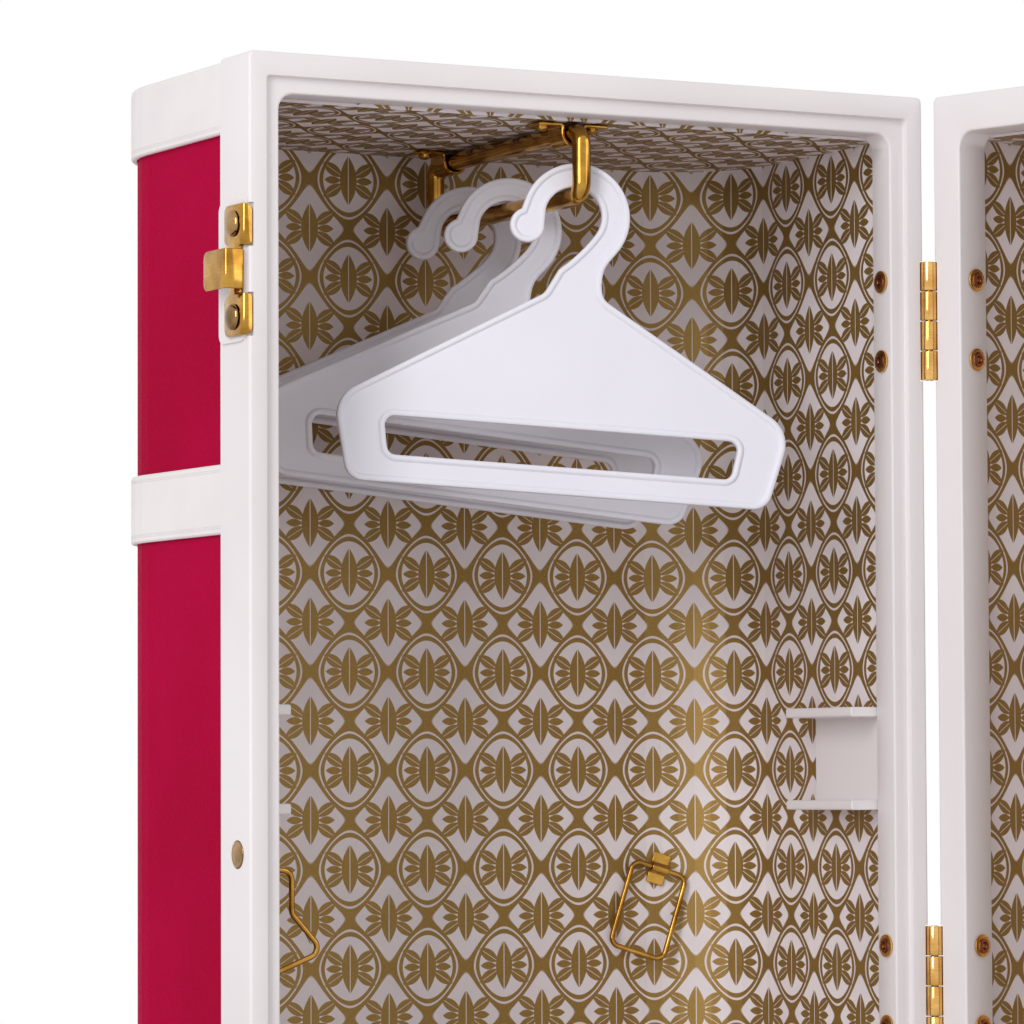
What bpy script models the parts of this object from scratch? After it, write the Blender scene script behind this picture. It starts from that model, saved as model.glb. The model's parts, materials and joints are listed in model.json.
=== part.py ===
# A doll's wardrobe trunk, open: two deep half cases joined by three butt hinges, a hanging rail
# with hangers in one half, and draw latches, keepers and a carrying handle on the outside.
# Metres, +Z up. The left half is the fixed one. Both halves are built in their own flat layout:
# x across, y from the front plane of the frame to the back, z up from the floor.
import math

import bmesh
import bpy
from mathutils import Matrix, Vector

# Driving dimensions, metres
CASE_W = 0.2375            # frame, side to side
CASE_H = 0.566             # frame, top to bottom
CASE_D = 0.120             # front plane of the frame to the back of the panel
GAP = 0.0003               # air between two pieces that touch
CORNER_R = 0.0388          # upright rear corners of the wrapped panel
PANEL_INSET = 0.0035       # panel behind the frame's outer faces
WALL_T = 0.0022            # wrapped side and back panel
END_T = 0.0062             # top and bottom boards
LINING_T = 0.0012          # paper-covered lining on sides and back
LINING_END_T = 0.0031      # padded lining at top and bottom

FLANGE_D = 0.0204          # outer flange of the frame, front to rear
FLANGE_T = 0.0029          # its wall
FACE_T = 0.0042            # face plate of the frame
HOLLOW_R = 0.0008
RETURN_D = 0.0128          # inner return, front to rear
OPEN_X = 0.0109            # opening edge behind the side face
OPEN_Z = 0.0121            # opening edge below the top face
OPEN_R = 0.0052            # corner radius of the opening
FRAME_R = 0.0018           # corner radius of the frame
STEP_X = 0.0059            # rim of the recessed face, sides
STEP_Z = 0.0072            # rim of the recessed face, top and bottom
STEP_DEPTH = 0.0022        # depth of the recessed face
STEP_R = 0.0012            # its corners

BAND_H = 0.0210            # binding strips
BAND_OUT = 0.0020          # how far they stand out of the panel
BAND_LIP = 0.0100          # how far the end strips roll over the top and bottom
BAND_MID_Z = 0.1328        # middle strips below the top and above the floor
BAND_SOFT = 0.0005         # softened edge
BAND_END_OUT = 0.0030      # how far the end strips stand above the top and below the floor board
BAND_ROLL_R = 0.0016       # their rolled edge

HINGE_L = 0.0381           # butt hinge, all knuckles
HINGE_TOP = 0.0717         # centre of the upper hinge below the top
KNUCKLE_R = 0.0029
PIN_OUT = 0.0019           # pin axis outside the side faces
KNUCKLE_SINK = 0.0002      # leaf plane inside the barrel's edge
PIN_R = 0.0012
LEAF_T = 0.0010
LEAF_W = 0.0160
RIVET_SPAN = 0.0254        # between the two rivets of a leaf
RIVET_BACK = 0.0075        # rivets behind the front plane
RIVET_R = 0.0016           # shank
RIVET_HEAD_R = 0.0036
RIVET_HEAD_T = 0.0007
RIVET_EYE_R = 0.0025       # rolled eye in the inner head
RIVET_EYE_T = 0.0004
RIVET_HOLE_R = 0.0011
PIN_FORWARD = 0.0003       # pin ahead of the front plane, half the seam

KEEPER_L = 0.0393
KEEPER_W = 0.0130
KEEPER_T = 0.0010
KEEPER_Z = 0.0655          # centre of the keeper below the top
KEEPER_FRONT = 0.0003      # its bent front edge behind the front plane
KEEPER_BEND = 0.0018       # outside radius of that bend
KEEPER_LIP = 0.0012        # its wings lie this far on the front of the frame
KEEPER_CORNER = 0.0024
KEEPER_RELIEF = 0.0012     # between the bend and the hook tab
TAB_H = 0.0119
TAB_RISE = 0.0066
TAB_RUN = 0.0150
TAB_FRONT = 0.0010
PAD_L = 0.0425             # raised pad under the keeper
PAD_W = 0.0196
PAD_T = 0.0008
PAD_R = 0.0030
DOME_R = 0.0040
DOME_H = 0.0017
DOME_BACK = 0.0068
DOME_SPAN = 0.0279
SIDE_RIVET_R = 0.0040      # flush rivet in the flange
SIDE_RIVET_Z = 0.2392
SIDE_RIVET_Y = 0.0088
SIDE_RIVET_T = 0.0012
SIDE_RIVET_PROUD = 0.0003

BAR_R = 0.0029             # hanging rail
RAIL_FRONT = 0.0105        # front leg of the rail, centre, behind the front plane
RAIL_REAR = 0.0110         # rear leg ahead of the outside of the back panel
RAIL_TOP_DROP = 0.0165     # upper bar below the top of the frame
RAIL_LOOP_H = 0.0201       # upper bar to lower bar
RAIL_BEND_R = 0.0042
STRAP_T = 0.0011           # saddle strap
STRAP_W = 0.0095
STRAP_WING = 0.0122        # half span of a saddle
STRAP_IN = 0.0094          # saddle centres from the legs
SCREW_R = 0.0022
SCREW_H = 0.0011
SCREW_OUT = 0.0087
SCREW_SLOT = 0.0007

HOOK_R = 0.0169            # hanger: outside of the hook
HOLE_R = 0.0090            # the round hole in it
HOLE_LEFT = 0.0009         # its centre from the outside's
HOLE_UP = 0.0003
HOOK_BALL_R = 0.00535
HOOK_BALL_X = 0.0152
HOOK_BALL_Z = 0.0035
NECK_R = 0.0050
NECK_RIGHT = (0.0093, -0.0204)
KNEE_LEFT = (-0.0043, -0.0165)         # where the inside of the hook turns down into the neck
KNEE_R = 0.0030
SHOULDER_RIGHT = (0.0099, -0.0249)
SHOULDER_LEFT = (-0.0084, -0.0243)
HANGER_HALF = 0.0720
SHOULDER_FALL = 0.0615     # underside of the hook circle centre to the shoulder tip
HANGER_END_Z = 0.0866
TIP_R = 0.0100
FOOT_R = 0.0060
FOOT_IN = 0.0060
SLOT_TOP = 0.0659
SLOT_BOTTOM = 0.0780
SLOT_HALF_TOP = 0.0560
SLOT_HALF_BOTTOM = 0.0540
SLOT_R = 0.0030
HANGER_T = 0.0032
HANGER_RIM = 0.0022
HANGER_SUNK = 0.0008
HANGER_SHIFTS = (0.0012, 0.0003, 0.0)      # hook centres to the right of the bar
HANGER_TURNS = (20.0, 19.0, 16.0)          # degrees, right end forward
HANGER_TILTS = (4.0, 7.0, 7.0)             # degrees, right end down

GUIDE_OUT = 0.0125         # moulded ledges on the side walls
GUIDE_TOP = 0.1945         # top of the upper ledge below the top of the frame
GUIDE_H = 0.0328
GUIDE_T = 0.0031
GUIDE_BACK_T = 0.0012
GUIDE_L = 0.0400
GUIDE_SOFT = 0.0007

WIRE_R = 0.0009            # wire loops
SIDE_WIRE_Y = 0.0200
SIDE_WIRE_TOP = 0.2435     # below the top of the frame
SIDE_WIRE_H = 0.0350
SIDE_WIRE_STEP = 0.0145
SIDE_WIRE_REACH = 0.0250
BACK_LOOP_W = 0.0190
BACK_LOOP_H = 0.0290
BACK_LOOP_IN = 0.0330      # from the outside of the hinge side
BACK_LOOP_SEAT = 0.0004    # clip off the rounded wall
BACK_LOOP_OFF = 0.0028     # top bar of the loop off the wall, centre
BACK_LOOP_TOP = 0.2470
BACK_LOOP_TURN = 18.0      # degrees, clockwise facing the wall
BACK_LOOP_LEAN = 5.0       # degrees, lower end off the wall
WIRE_BEND_R = 0.0030
CLIP_T = 0.0006
CLIP_W = 0.0060
CLIP_WING = 0.0052

LATCH_W = 0.0170           # draw latch on the free edge of the right half
LATCH_T = 0.0012
LATCH_FRONT = 0.0017
EAR_GAP = 0.0234           # between the ears
EAR_T = 0.0016
EAR_W = 0.0062
EAR_H = 0.0062
LEVER_W = 0.0228
LEVER_T = 0.0013
LEVER_L = 0.0150
LEVER_OUT = 0.0046         # lever axis out of the side face
LEVER_BACK = 0.0052        # lever axis behind the front plane
TRUNNION_R = 0.0010
TRUNNION_L = 0.0012
BAIL_R = 0.0008
BAIL_BACK = 0.0062         # bail axis behind the lever axis
BAIL_OUT = 0.0028          # bail axis outside the lever plate
BAIL_L = 0.0310
BAIL_W = 0.0290
BAIL_BEND_R = 0.0030
EYE_WALL = 0.0008

HANDLE_SPAN = 0.1120
HANDLE_REACH = 0.0240
HANDLE_R = 0.0028
HANDLE_OUT = 0.0068        # handle axis out of the side face
HANDLE_BEND_R = 0.0090
HANDLE_SLOPE = 0.0160
HANDLE_NECK = 0.0110
MOUNT_W = 0.0130
MOUNT_H = 0.0120
MOUNT_BORE = 0.0080
MOUNT_SOFT = 0.0012

GLIDE_R = 0.0080
GLIDE_IN = 0.0388          # from the outside of the case
GLIDE_BACK = 0.0350
CUT = 0.0040               # how far cutters run past what they cut
FIT_SLACK = 0.0003         # running clearance of pins and bores
MERGE = 0.00001

# Shares and counts
OPEN_DEG = 106.3           # opening angle between the two front planes
HALF_SHARE = 0.5
SCREW_TAPER_SHARE = 0.8    # screw head, small end over large end
ROUND_SHARE = 0.7          # flat middle of a softened rivet head
PULL_SHARES = (0.62, 0.79, 0.5, 0.87, 0.64, 0.48)     # curve handles where the hook meets the neck
KNEE_SHARE = 0.39          # bends of the side wire, down its height
FAR_SHARE = 0.72
SLOPE_SHARE = 0.25         # shoulder of the carrying handle
HOOK_ARC = (-38, 166)      # degrees, outside of the hook
BALL_ARC = (112, 368)
INNER_ARC = (168, -30)
CORNER_STEPS = 10
ROUND_STEPS = 12
ARC_STEPS = 3
HANGER_SHARES = (0.060, 0.490, 0.757)     # along the rail between its legs
WIRE_STEPS = 1             # bevel resolution of thin wires
BAR_STEPS = 2
KNUCKLES = 4
HINGES = 3

hw = CASE_W * HALF_SHARE
lining_x = PANEL_INSET + WALL_T + GAP          # outside of the lining below the side face
lining_z = PANEL_INSET + END_T + GAP
lining_y = CASE_D - WALL_T - GAP
room_x = lining_x + LINING_T                   # inside of the lining
room_z = lining_z + LINING_END_T
room_y = lining_y - LINING_T
ceiling = CASE_H - room_z
leaf_u = PIN_OUT - KNUCKLE_R + KNUCKLE_SINK    # inner face of the hinge leaves, from the side faces
rail_back = CASE_D - RAIL_REAR
rail_top_z = CASE_H - RAIL_TOP_DROP
front_y = -FLANGE_D * HALF_SHARE               # the part's origin is under the flange's middle

for item in list(bpy.data.objects):
    bpy.data.objects.remove(item, do_unlink=True)

parts = bpy.data.collections.new("doll_wardrobe_trunk")
tools = bpy.data.collections.new("cutters")
bpy.context.scene.collection.children.link(parts)
bpy.context.scene.collection.children.link(tools)


# Materials
def material(name, colour, rough, metal=0.0):
    mat = bpy.data.materials.new(name)
    mat.use_nodes = True
    bsdf = mat.node_tree.nodes["Principled BSDF"]
    bsdf.inputs["Base Color"].default_value = (*colour, 1.0)
    bsdf.inputs["Roughness"].default_value = rough
    bsdf.inputs["Metallic"].default_value = metal
    return mat


def panel_red(name):
    return material(name, (0.44, 0.006, 0.045), 0.55)


def cream_plastic(name):
    return material(name, (0.80, 0.75, 0.75), 0.40)


def binding(name):
    return material(name, (0.78, 0.73, 0.74), 0.60)


def lining_paper(name):
    return material(name, (0.62, 0.52, 0.44), 0.70)


def brass(name):
    return material(name, (0.72, 0.46, 0.13), 0.25, 1.0)


def white_plastic(name):
    return material(name, (0.82, 0.82, 0.86), 0.35)


def grip(name):
    return material(name, (0.70, 0.62, 0.58), 0.60)


# Mesh helpers
def put(name, bm, mat, parent=None, smooth=None):
    """A finished bmesh becomes an object in the part's collection."""
    bmesh.ops.recalc_face_normals(bm, faces=bm.faces)
    mesh = bpy.data.meshes.new(name)
    bm.to_mesh(mesh)
    bm.free()
    ob = bpy.data.objects.new(name, mesh)
    parts.objects.link(ob)
    ob.parent = parent
    mesh.materials.append(mat(name + "_mat"))
    if smooth is not None:
        mesh.shade_smooth()
        mesh.set_sharp_from_angle(angle=math.radians(smooth))
    return ob


def empty(name, place, parent=None, turn=(0.0, 0.0, 0.0)):
    ob = bpy.data.objects.new(name, None)
    ob.empty_display_size = CASE_W * HALF_SHARE
    parts.objects.link(ob)
    ob.parent = parent
    ob.location = place
    ob.rotation_euler = turn
    return ob


def cutter(target, bm, name, how="DIFFERENCE"):
    """Cuts bm from target, or joins it on, with an exact Boolean."""
    bmesh.ops.recalc_face_normals(bm, faces=bm.faces)
    mesh = bpy.data.meshes.new(name)
    bm.to_mesh(mesh)
    bm.free()
    ob = bpy.data.objects.new(name, mesh)
    tools.objects.link(ob)
    ob.parent = target
    ob.hide_render = True
    ob.display_type = "WIRE"
    mod = target.modifiers.new(name, "BOOLEAN")
    mod.operation = how
    mod.solver = "EXACT"
    mod.object = ob


def arc(cx, cz, r, a0, a1, steps):
    """Points on an arc, degrees."""
    out = []
    for i in range(steps + 1):
        a = math.radians(a0 + (a1 - a0) * i / steps)
        out.append((cx + r * math.cos(a), cz + r * math.sin(a)))
    return out


def rounded(corners, steps=ARC_STEPS):
    """A polygon with a fillet at each corner; corners are (x, z, radius)."""
    out = []
    n = len(corners)
    for i, (x, z, r) in enumerate(corners):
        if r == 0:
            out.append((x, z))
            continue
        here = Vector((x, z))
        back = (Vector(corners[i - 1][:2]) - here).normalized()
        ahead = (Vector(corners[(i + 1) % n][:2]) - here).normalized()
        half = back.angle(ahead) / 2
        reach = r / math.tan(half)
        mid = here + (back + ahead).normalized() * (r / math.sin(half))
        a = here + back * reach - mid
        b = here + ahead * reach - mid
        a0 = math.atan2(a.y, a.x)
        turn = math.atan2(b.y, b.x) - a0
        turn = (turn + math.pi) % (2 * math.pi) - math.pi
        for k in range(steps + 1):
            t = a0 + turn * k / steps
            out.append((mid.x + r * math.cos(t), mid.y + r * math.sin(t)))
    return out


def prism(points, low, high, plane="XZ", bm=None):
    """A flat outline made solid. XZ runs along y, XY along z, YZ along x."""
    bm = bm or bmesh.new()
    spot = {"XZ": lambda a, b, c: (a, c, b), "XY": lambda a, b, c: (a, b, c),
            "YZ": lambda a, b, c: (c, a, b)}[plane]
    face = bm.faces.new([bm.verts.new(spot(a, b, low)) for a, b in points])
    out = bmesh.ops.extrude_face_region(bm, geom=[face])
    along = {"XZ": 1, "XY": 2, "YZ": 0}[plane]
    for v in out["geom"]:
        if isinstance(v, bmesh.types.BMVert):
            v.co[along] = high
    return bm


def box(x0, x1, y0, y1, z0, z1, bm=None):
    return prism([(x0, z0), (x1, z0), (x1, z1), (x0, z1)], y0, y1, "XZ", bm)


def rod(place, axis, r, low, high, bm=None, steps=ROUND_STEPS, r2=None):
    """A cylinder about an axis through place, from low to high along it."""
    bm = bm or bmesh.new()
    turn = {"X": Matrix.Rotation(math.pi / 2, 4, "Y"), "Y": Matrix.Rotation(-math.pi / 2, 4, "X"),
            "Z": Matrix.Identity(4)}[axis]
    along = {"X": Vector((1, 0, 0)), "Y": Vector((0, 1, 0)), "Z": Vector((0, 0, 1))}[axis]
    mid = Vector(place) + along * (low + high) / 2
    bmesh.ops.create_cone(bm, cap_ends=True, segments=steps, radius1=r, radius2=r if r2 is None else r2,
                          depth=high - low, matrix=Matrix.Translation(mid) @ turn)
    return bm


def lathe(profile, place, axis, side=1, bm=None, steps=ROUND_STEPS):
    """A turned piece; profile is (radius, height) from the axis at one end to the axis at the other."""
    bm = bm or bmesh.new()
    verts = [bm.verts.new((r, 0.0, h)) for r, h in profile]
    edges = [bm.edges.new(pair) for pair in zip(verts, verts[1:])]
    bmesh.ops.spin(bm, geom=verts + edges, cent=(0, 0, 0), axis=(0, 0, 1), dvec=(0, 0, 0),
                   angle=2 * math.pi, steps=steps, use_duplicate=False)
    mine = connected(verts[0])
    turn = {"X": Matrix.Rotation(math.pi / 2 * side, 4, "Y"),
            "Y": Matrix.Rotation(-math.pi / 2 * side, 4, "X"),
            "Z": Matrix.Diagonal((1, 1, side, 1))}[axis]
    bmesh.ops.transform(bm, matrix=Matrix.Translation(place) @ turn, verts=mine)
    bmesh.ops.remove_doubles(bm, verts=bm.verts, dist=MERGE)
    return bm


def connected(start):
    """All vertices of the piece that holds start."""
    found, todo = {start}, [start]
    while todo:
        for e in todo.pop().link_edges:
            for v in e.verts:
                if v not in found:
                    found.add(v)
                    todo.append(v)
    return list(found)


def block(half_x, z_in, r, low, high):
    """A rounded upright rectangle, as deep as low to high; z_in is its inset at top and bottom."""
    z0, z1 = z_in, CASE_H - z_in
    pts = [(-half_x, z0, r), (half_x, z0, r), (half_x, z1, r), (-half_x, z1, r)]
    return prism(rounded(pts), low, high)


def plan(inset, y_front, y_back, steps=CORNER_STEPS):
    """Top view of the case at an inset from the frame's sides, with round rear corners."""
    half = hw - inset
    r = CORNER_R - (inset - PANEL_INSET)
    right = arc(half - r, y_back - r, r, 0, 90, steps)
    left = arc(r - half, y_back - r, r, 90, 180, steps)
    return [(-half, y_front), (half, y_front)] + right + left


def wire(name, points, r, mat, parent, closed=True, plane="XZ", bend=0.0, fine=WIRE_STEPS):
    """A round wire through corner points with rounded bends; a bevelled curve made into a mesh."""
    if bend:
        pts = rounded([(a, b, bend) for a, b in points])
    else:
        pts = points
    spot = {"XZ": lambda a, b: (a, 0.0, b), "YZ": lambda a, b: (0.0, a, b)}[plane]
    data = bpy.data.curves.new(name, "CURVE")
    data.dimensions = "3D"
    line = data.splines.new("POLY")
    line.points.add(len(pts) - 1)
    for p, (a, b) in zip(line.points, pts):
        p.co = (*spot(a, b), 1.0)
    line.use_cyclic_u = closed
    data.bevel_depth = r
    data.bevel_resolution = fine
    data.use_fill_caps = True
    data.twist_mode = "MINIMUM"
    ob = bpy.data.objects.new(name, data)
    parts.objects.link(ob)
    ob.parent = parent
    data.materials.append(mat(name + "_mat"))
    for s in data.splines:
        s.use_smooth = True
    return ob


# Case halves
def shell(name, parent, hinge_side):
    """Wrapped side and back panel with the top and bottom boards."""
    y0 = FACE_T + GAP
    ob = put(name, prism(plan(PANEL_INSET, y0, CASE_D), PANEL_INSET, CASE_H - PANEL_INSET, "XY"),
             panel_red, parent, 40)
    inner = PANEL_INSET + WALL_T
    hole = prism(plan(inner, y0 - CUT, CASE_D - WALL_T), PANEL_INSET + END_T,
                 CASE_H - PANEL_INSET - END_T, "XY")
    cutter(ob, hole, name + "_room")
    rivet_holes(ob, name, hinge_side)
    return ob


def rivet_holes(ob, name, side):
    """Holes for the hinge rivets, from the inner return out through the flange."""
    bm = bmesh.new()
    a, b = sorted((side * (hw - OPEN_X - CUT), side * (hw + CUT)))
    for z in hinge_heights():
        for k in (-1, 1):
            rod((0, RIVET_BACK, z + k * RIVET_SPAN / 2), "X", RIVET_R + GAP, a, b, bm)
    cutter(ob, bm, name + "_rivet_holes")


def lining(name, parent):
    y0 = RETURN_D + GAP
    ob = put(name, prism(plan(lining_x, y0, lining_y), lining_z, CASE_H - lining_z, "XY"),
             lining_paper, parent, 40)
    hole = prism(plan(room_x, y0 - CUT, room_y), room_z, CASE_H - room_z, "XY")
    cutter(ob, hole, name + "_room")
    return ob


def frame(name, parent, recessed, hinge_side):
    """Moulded frame: face plate, outer flange, inner return and the keeper pads or rivet holes."""
    ob = put(name, block(hw, 0.0, FRAME_R, 0.0, FLANGE_D), cream_plastic, parent, 40)
    cutter(ob, block(hw - FLANGE_T, FLANGE_T, HOLLOW_R, FACE_T, FLANGE_D + CUT), name + "_hollow")
    side = PANEL_INSET + WALL_T + GAP
    end = PANEL_INSET + END_T + GAP
    cutter(ob, block(hw - side, end, OPEN_R, FACE_T - GAP, RETURN_D), name + "_return", "UNION")
    cutter(ob, block(hw - OPEN_X, OPEN_Z, OPEN_R, -CUT, RETURN_D + CUT), name + "_opening")
    if recessed:
        cutter(ob, block(hw - STEP_X, STEP_Z, STEP_R, -CUT, STEP_DEPTH), name + "_step")
    if recessed:
        for i, z in enumerate((CASE_H - KEEPER_Z, KEEPER_Z)):
            a = KEEPER_FRONT + KEEPER_BEND
            b = KEEPER_FRONT + PAD_W
            deep = KEEPER_FRONT + KEEPER_T + GAP
            pts = [(a, z - PAD_L / 2, PAD_R), (b, z - PAD_L / 2, PAD_R), (b, z + PAD_L / 2, PAD_R),
                   (a, z + PAD_L / 2, PAD_R)]
            cutter(ob, prism(rounded(pts), -hw - PAD_T, -hw + FLANGE_T / 2, "YZ"), f"{name}_pad{i}", "UNION")
            for k, (low, high) in enumerate(wings(z)):
                notch = box(-hw - CUT, -hw + KEEPER_LIP + GAP, -CUT, deep, low - GAP, high + GAP)
                cutter(ob, notch, f"{name}_notch{i}{k}")
        spot = (0, SIDE_RIVET_Y, CASE_H - SIDE_RIVET_Z)
        cutter(ob, rod(spot, "X", SIDE_RIVET_R + GAP, -hw - CUT, -hw + SIDE_RIVET_T + GAP), name + "_seat")
    leaf_seats(ob, name, hinge_side)
    rivet_holes(ob, name, hinge_side)
    return ob


def leaf_seats(ob, name, side):
    """Recesses in the flange for the hinge leaves and their barrels."""
    for i, z in enumerate(hinge_heights()):
        low, high = z - HINGE_L / 2 - GAP, z + HINGE_L / 2 + GAP
        a, b = sorted((side * (hw + leaf_u - GAP), side * (hw + CUT)))
        cutter(ob, box(a, b, -CUT, LEAF_W + GAP, low, high), f"{name}_leaf_seat{i}")
        barrel = rod((side * (hw + PIN_OUT), -PIN_FORWARD, 0), "Z", KNUCKLE_R + GAP, low, high)
        cutter(ob, barrel, f"{name}_barrel_seat{i}")


def hinge_heights():
    top, low = CASE_H - HINGE_TOP, HINGE_TOP
    return [top + (low - top) * i / (HINGES - 1) for i in range(HINGES)]


def band(name, parent, section):
    """A binding strip: its section runs back along one side, round the rear and forward again."""
    bm = bmesh.new()
    y0, y1 = FLANGE_D + GAP, CASE_D - CORNER_R
    face = bm.faces.new([bm.verts.new((-hw + a, y0, z)) for a, z in section])
    last = [face]
    half = hw - PANEL_INSET - CORNER_R

    def push(geom, vec):
        out = bmesh.ops.extrude_face_region(bm, geom=geom)
        verts = [g for g in out["geom"] if isinstance(g, bmesh.types.BMVert)]
        bmesh.ops.translate(bm, verts=verts, vec=vec)
        if geom != start:
            bmesh.ops.delete(bm, geom=geom, context="FACES_ONLY")
        return [g for g in out["geom"] if isinstance(g, bmesh.types.BMFace)]

    def swing(geom, x):
        out = bmesh.ops.spin(bm, geom=geom, cent=(x, y1, 0), axis=(0, 0, 1), dvec=(0, 0, 0),
                             angle=-math.pi / 2, steps=CORNER_STEPS, use_duplicate=False)
        bmesh.ops.delete(bm, geom=geom, context="FACES_ONLY")
        return [g for g in out["geom_last"] if isinstance(g, bmesh.types.BMFace)]

    start = last
    last = push(last, (0, y1 - y0, 0))
    last = swing(last, -half)
    last = push(last, (2 * half, 0, 0))
    last = swing(last, half)
    push(last, (0, y0 - y1, 0))
    return put(name, bm, binding, parent, 40)


def middle_section(z):
    """Flat strip with softened outer edges, centred at height z."""
    a, b = PANEL_INSET - GAP, PANEL_INSET - BAND_OUT
    low, top, s = z - BAND_H / 2, z + BAND_H / 2, BAND_SOFT
    return [(a, low), (b + s, low), (b, low + s), (b, top - s), (b + s, top), (a, top)]


def end_section(up):
    """Edge strip that also rolls over the top (up = 1) or the bottom (up = -1)."""
    a, b, c = PANEL_INSET - GAP, PANEL_INSET - BAND_OUT, PANEL_INSET - BAND_END_OUT
    s, r = BAND_SOFT, BAND_ROLL_R
    pts = [(a, b + BAND_H), (a, a), (a + BAND_LIP, a), (a + BAND_LIP, c + s), (a + BAND_LIP - s, c),
           *arc(b + r, c + r, r, -90, -180, ARC_STEPS), (b, b + BAND_H - s), (b + s, b + BAND_H)]
    if up < 0:
        return pts
    return [(x, CASE_H - z) for x, z in pts]


def glides(tag, parent):
    for side, x in (("l", GLIDE_IN - hw), ("r", hw - GLIDE_IN)):
        bm = rod((x, CASE_D - GLIDE_BACK, 0), "Z", GLIDE_R, 0.0, PANEL_INSET - GAP)
        put(f"glide_{tag}_{side}", bm, white_plastic, parent, 40)


# Hinges
def leaf_outline(z, mine):
    """Leaf seen from the side, with a tab for each of its own knuckles."""
    knuckle = HINGE_L / KNUCKLES
    y0, top = KNUCKLE_R + 2 * GAP, z + HINGE_L / 2
    pts = [(LEAF_W, top), (LEAF_W, top - HINGE_L)]
    for k in reversed(range(KNUCKLES)):
        if k in mine:
            low, high = top - (k + 1) * knuckle + GAP / 2, top - k * knuckle - GAP / 2
            if k == KNUCKLES - 1:
                low = top - HINGE_L
            if k == 0:
                high = top
            pts += [(y0, low), (-PIN_FORWARD, low), (-PIN_FORWARD, high), (y0, high)]
    if KNUCKLES - 1 not in mine:
        pts.insert(2, (y0, top - HINGE_L))
    if 0 not in mine:
        pts.append((y0, top))
    return [p for i, p in enumerate(pts) if p != pts[i - 1]]


def hinge(i, z, left, right):
    """Two leaves with interleaved knuckles on one pin. Leaves lie on the outer faces of the flanges."""
    knuckle = HINGE_L / KNUCKLES
    top = z + HINGE_L / 2
    for tag, parent, side in (("left", left, 1), ("right", right, -1)):
        out = lambda u: side * (hw + u)
        name = f"hinge_{i}_leaf_{tag}"
        mine = [k for k in range(KNUCKLES) if (k % 2 == 0) == (tag == "left")]
        lo, hi = sorted((out(leaf_u), out(leaf_u + LEAF_T)))
        ob = put(name, prism(leaf_outline(z, mine), lo, hi, "YZ"), brass, parent, 40)
        axis = (out(PIN_OUT), -PIN_FORWARD, 0)
        bm = bmesh.new()
        for k in mine:
            rod(axis, "Z", KNUCKLE_R, top - (k + 1) * knuckle + GAP / 2, top - k * knuckle - GAP / 2, bm)
        cutter(ob, bm, name + "_knuckles", "UNION")
        cutter(ob, rod(axis, "Z", PIN_R + FIT_SLACK, z - HINGE_L, z + HINGE_L), name + "_bore")
        face = leaf_u + LEAF_T
        head, back = face + RIVET_HEAD_T, -OPEN_X - GAP
        washer = back - RIVET_HEAD_T
        eye = washer - RIVET_EYE_T
        bm = bmesh.new()
        for k in (-1, 1):
            profile = [(0, head), (RIVET_HEAD_R * ROUND_SHARE, head), (RIVET_HEAD_R, face + GAP),
                       (RIVET_HEAD_R, face - LEAF_T / 2), (RIVET_R, face - LEAF_T / 2), (RIVET_R, back),
                       (RIVET_HEAD_R, back), (RIVET_HEAD_R * ROUND_SHARE, washer), (RIVET_EYE_R, washer),
                       (RIVET_EYE_R * ROUND_SHARE, eye), (RIVET_HOLE_R, eye), (RIVET_HOLE_R, washer),
                       (0, washer)]
            spot = (side * hw, RIVET_BACK, z + k * RIVET_SPAN / 2)
            lathe(profile, spot, "X", side, bm)
        cutter(ob, bm, name + "_rivets", "UNION")
    pin = rod((hw + PIN_OUT, -PIN_FORWARD, 0), "Z", PIN_R, z - HINGE_L / 2, top)
    put(f"hinge_{i}_pin", pin, brass, left, 40)


# Keepers on the free edge of the left half
def dome(name, place, mat, parent, side=-1):
    """A domed rivet head on a side face, flat underneath."""
    steps = [math.radians(90 * k / 6) for k in range(7)]
    profile = [(DOME_R * math.sin(a), DOME_H * math.cos(a)) for a in steps] + [(0, 0)]
    profile[6] = (DOME_R, 0.0)
    return put(name, lathe(profile, place, "X", side), mat, parent, 50)


def wings(z):
    """Heights of the two bent wings of a keeper, on either side of its hook."""
    side = TAB_H / 2 + KEEPER_RELIEF
    return (z - KEEPER_L / 2, z - side), (z + side, z + KEEPER_L / 2)


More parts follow.
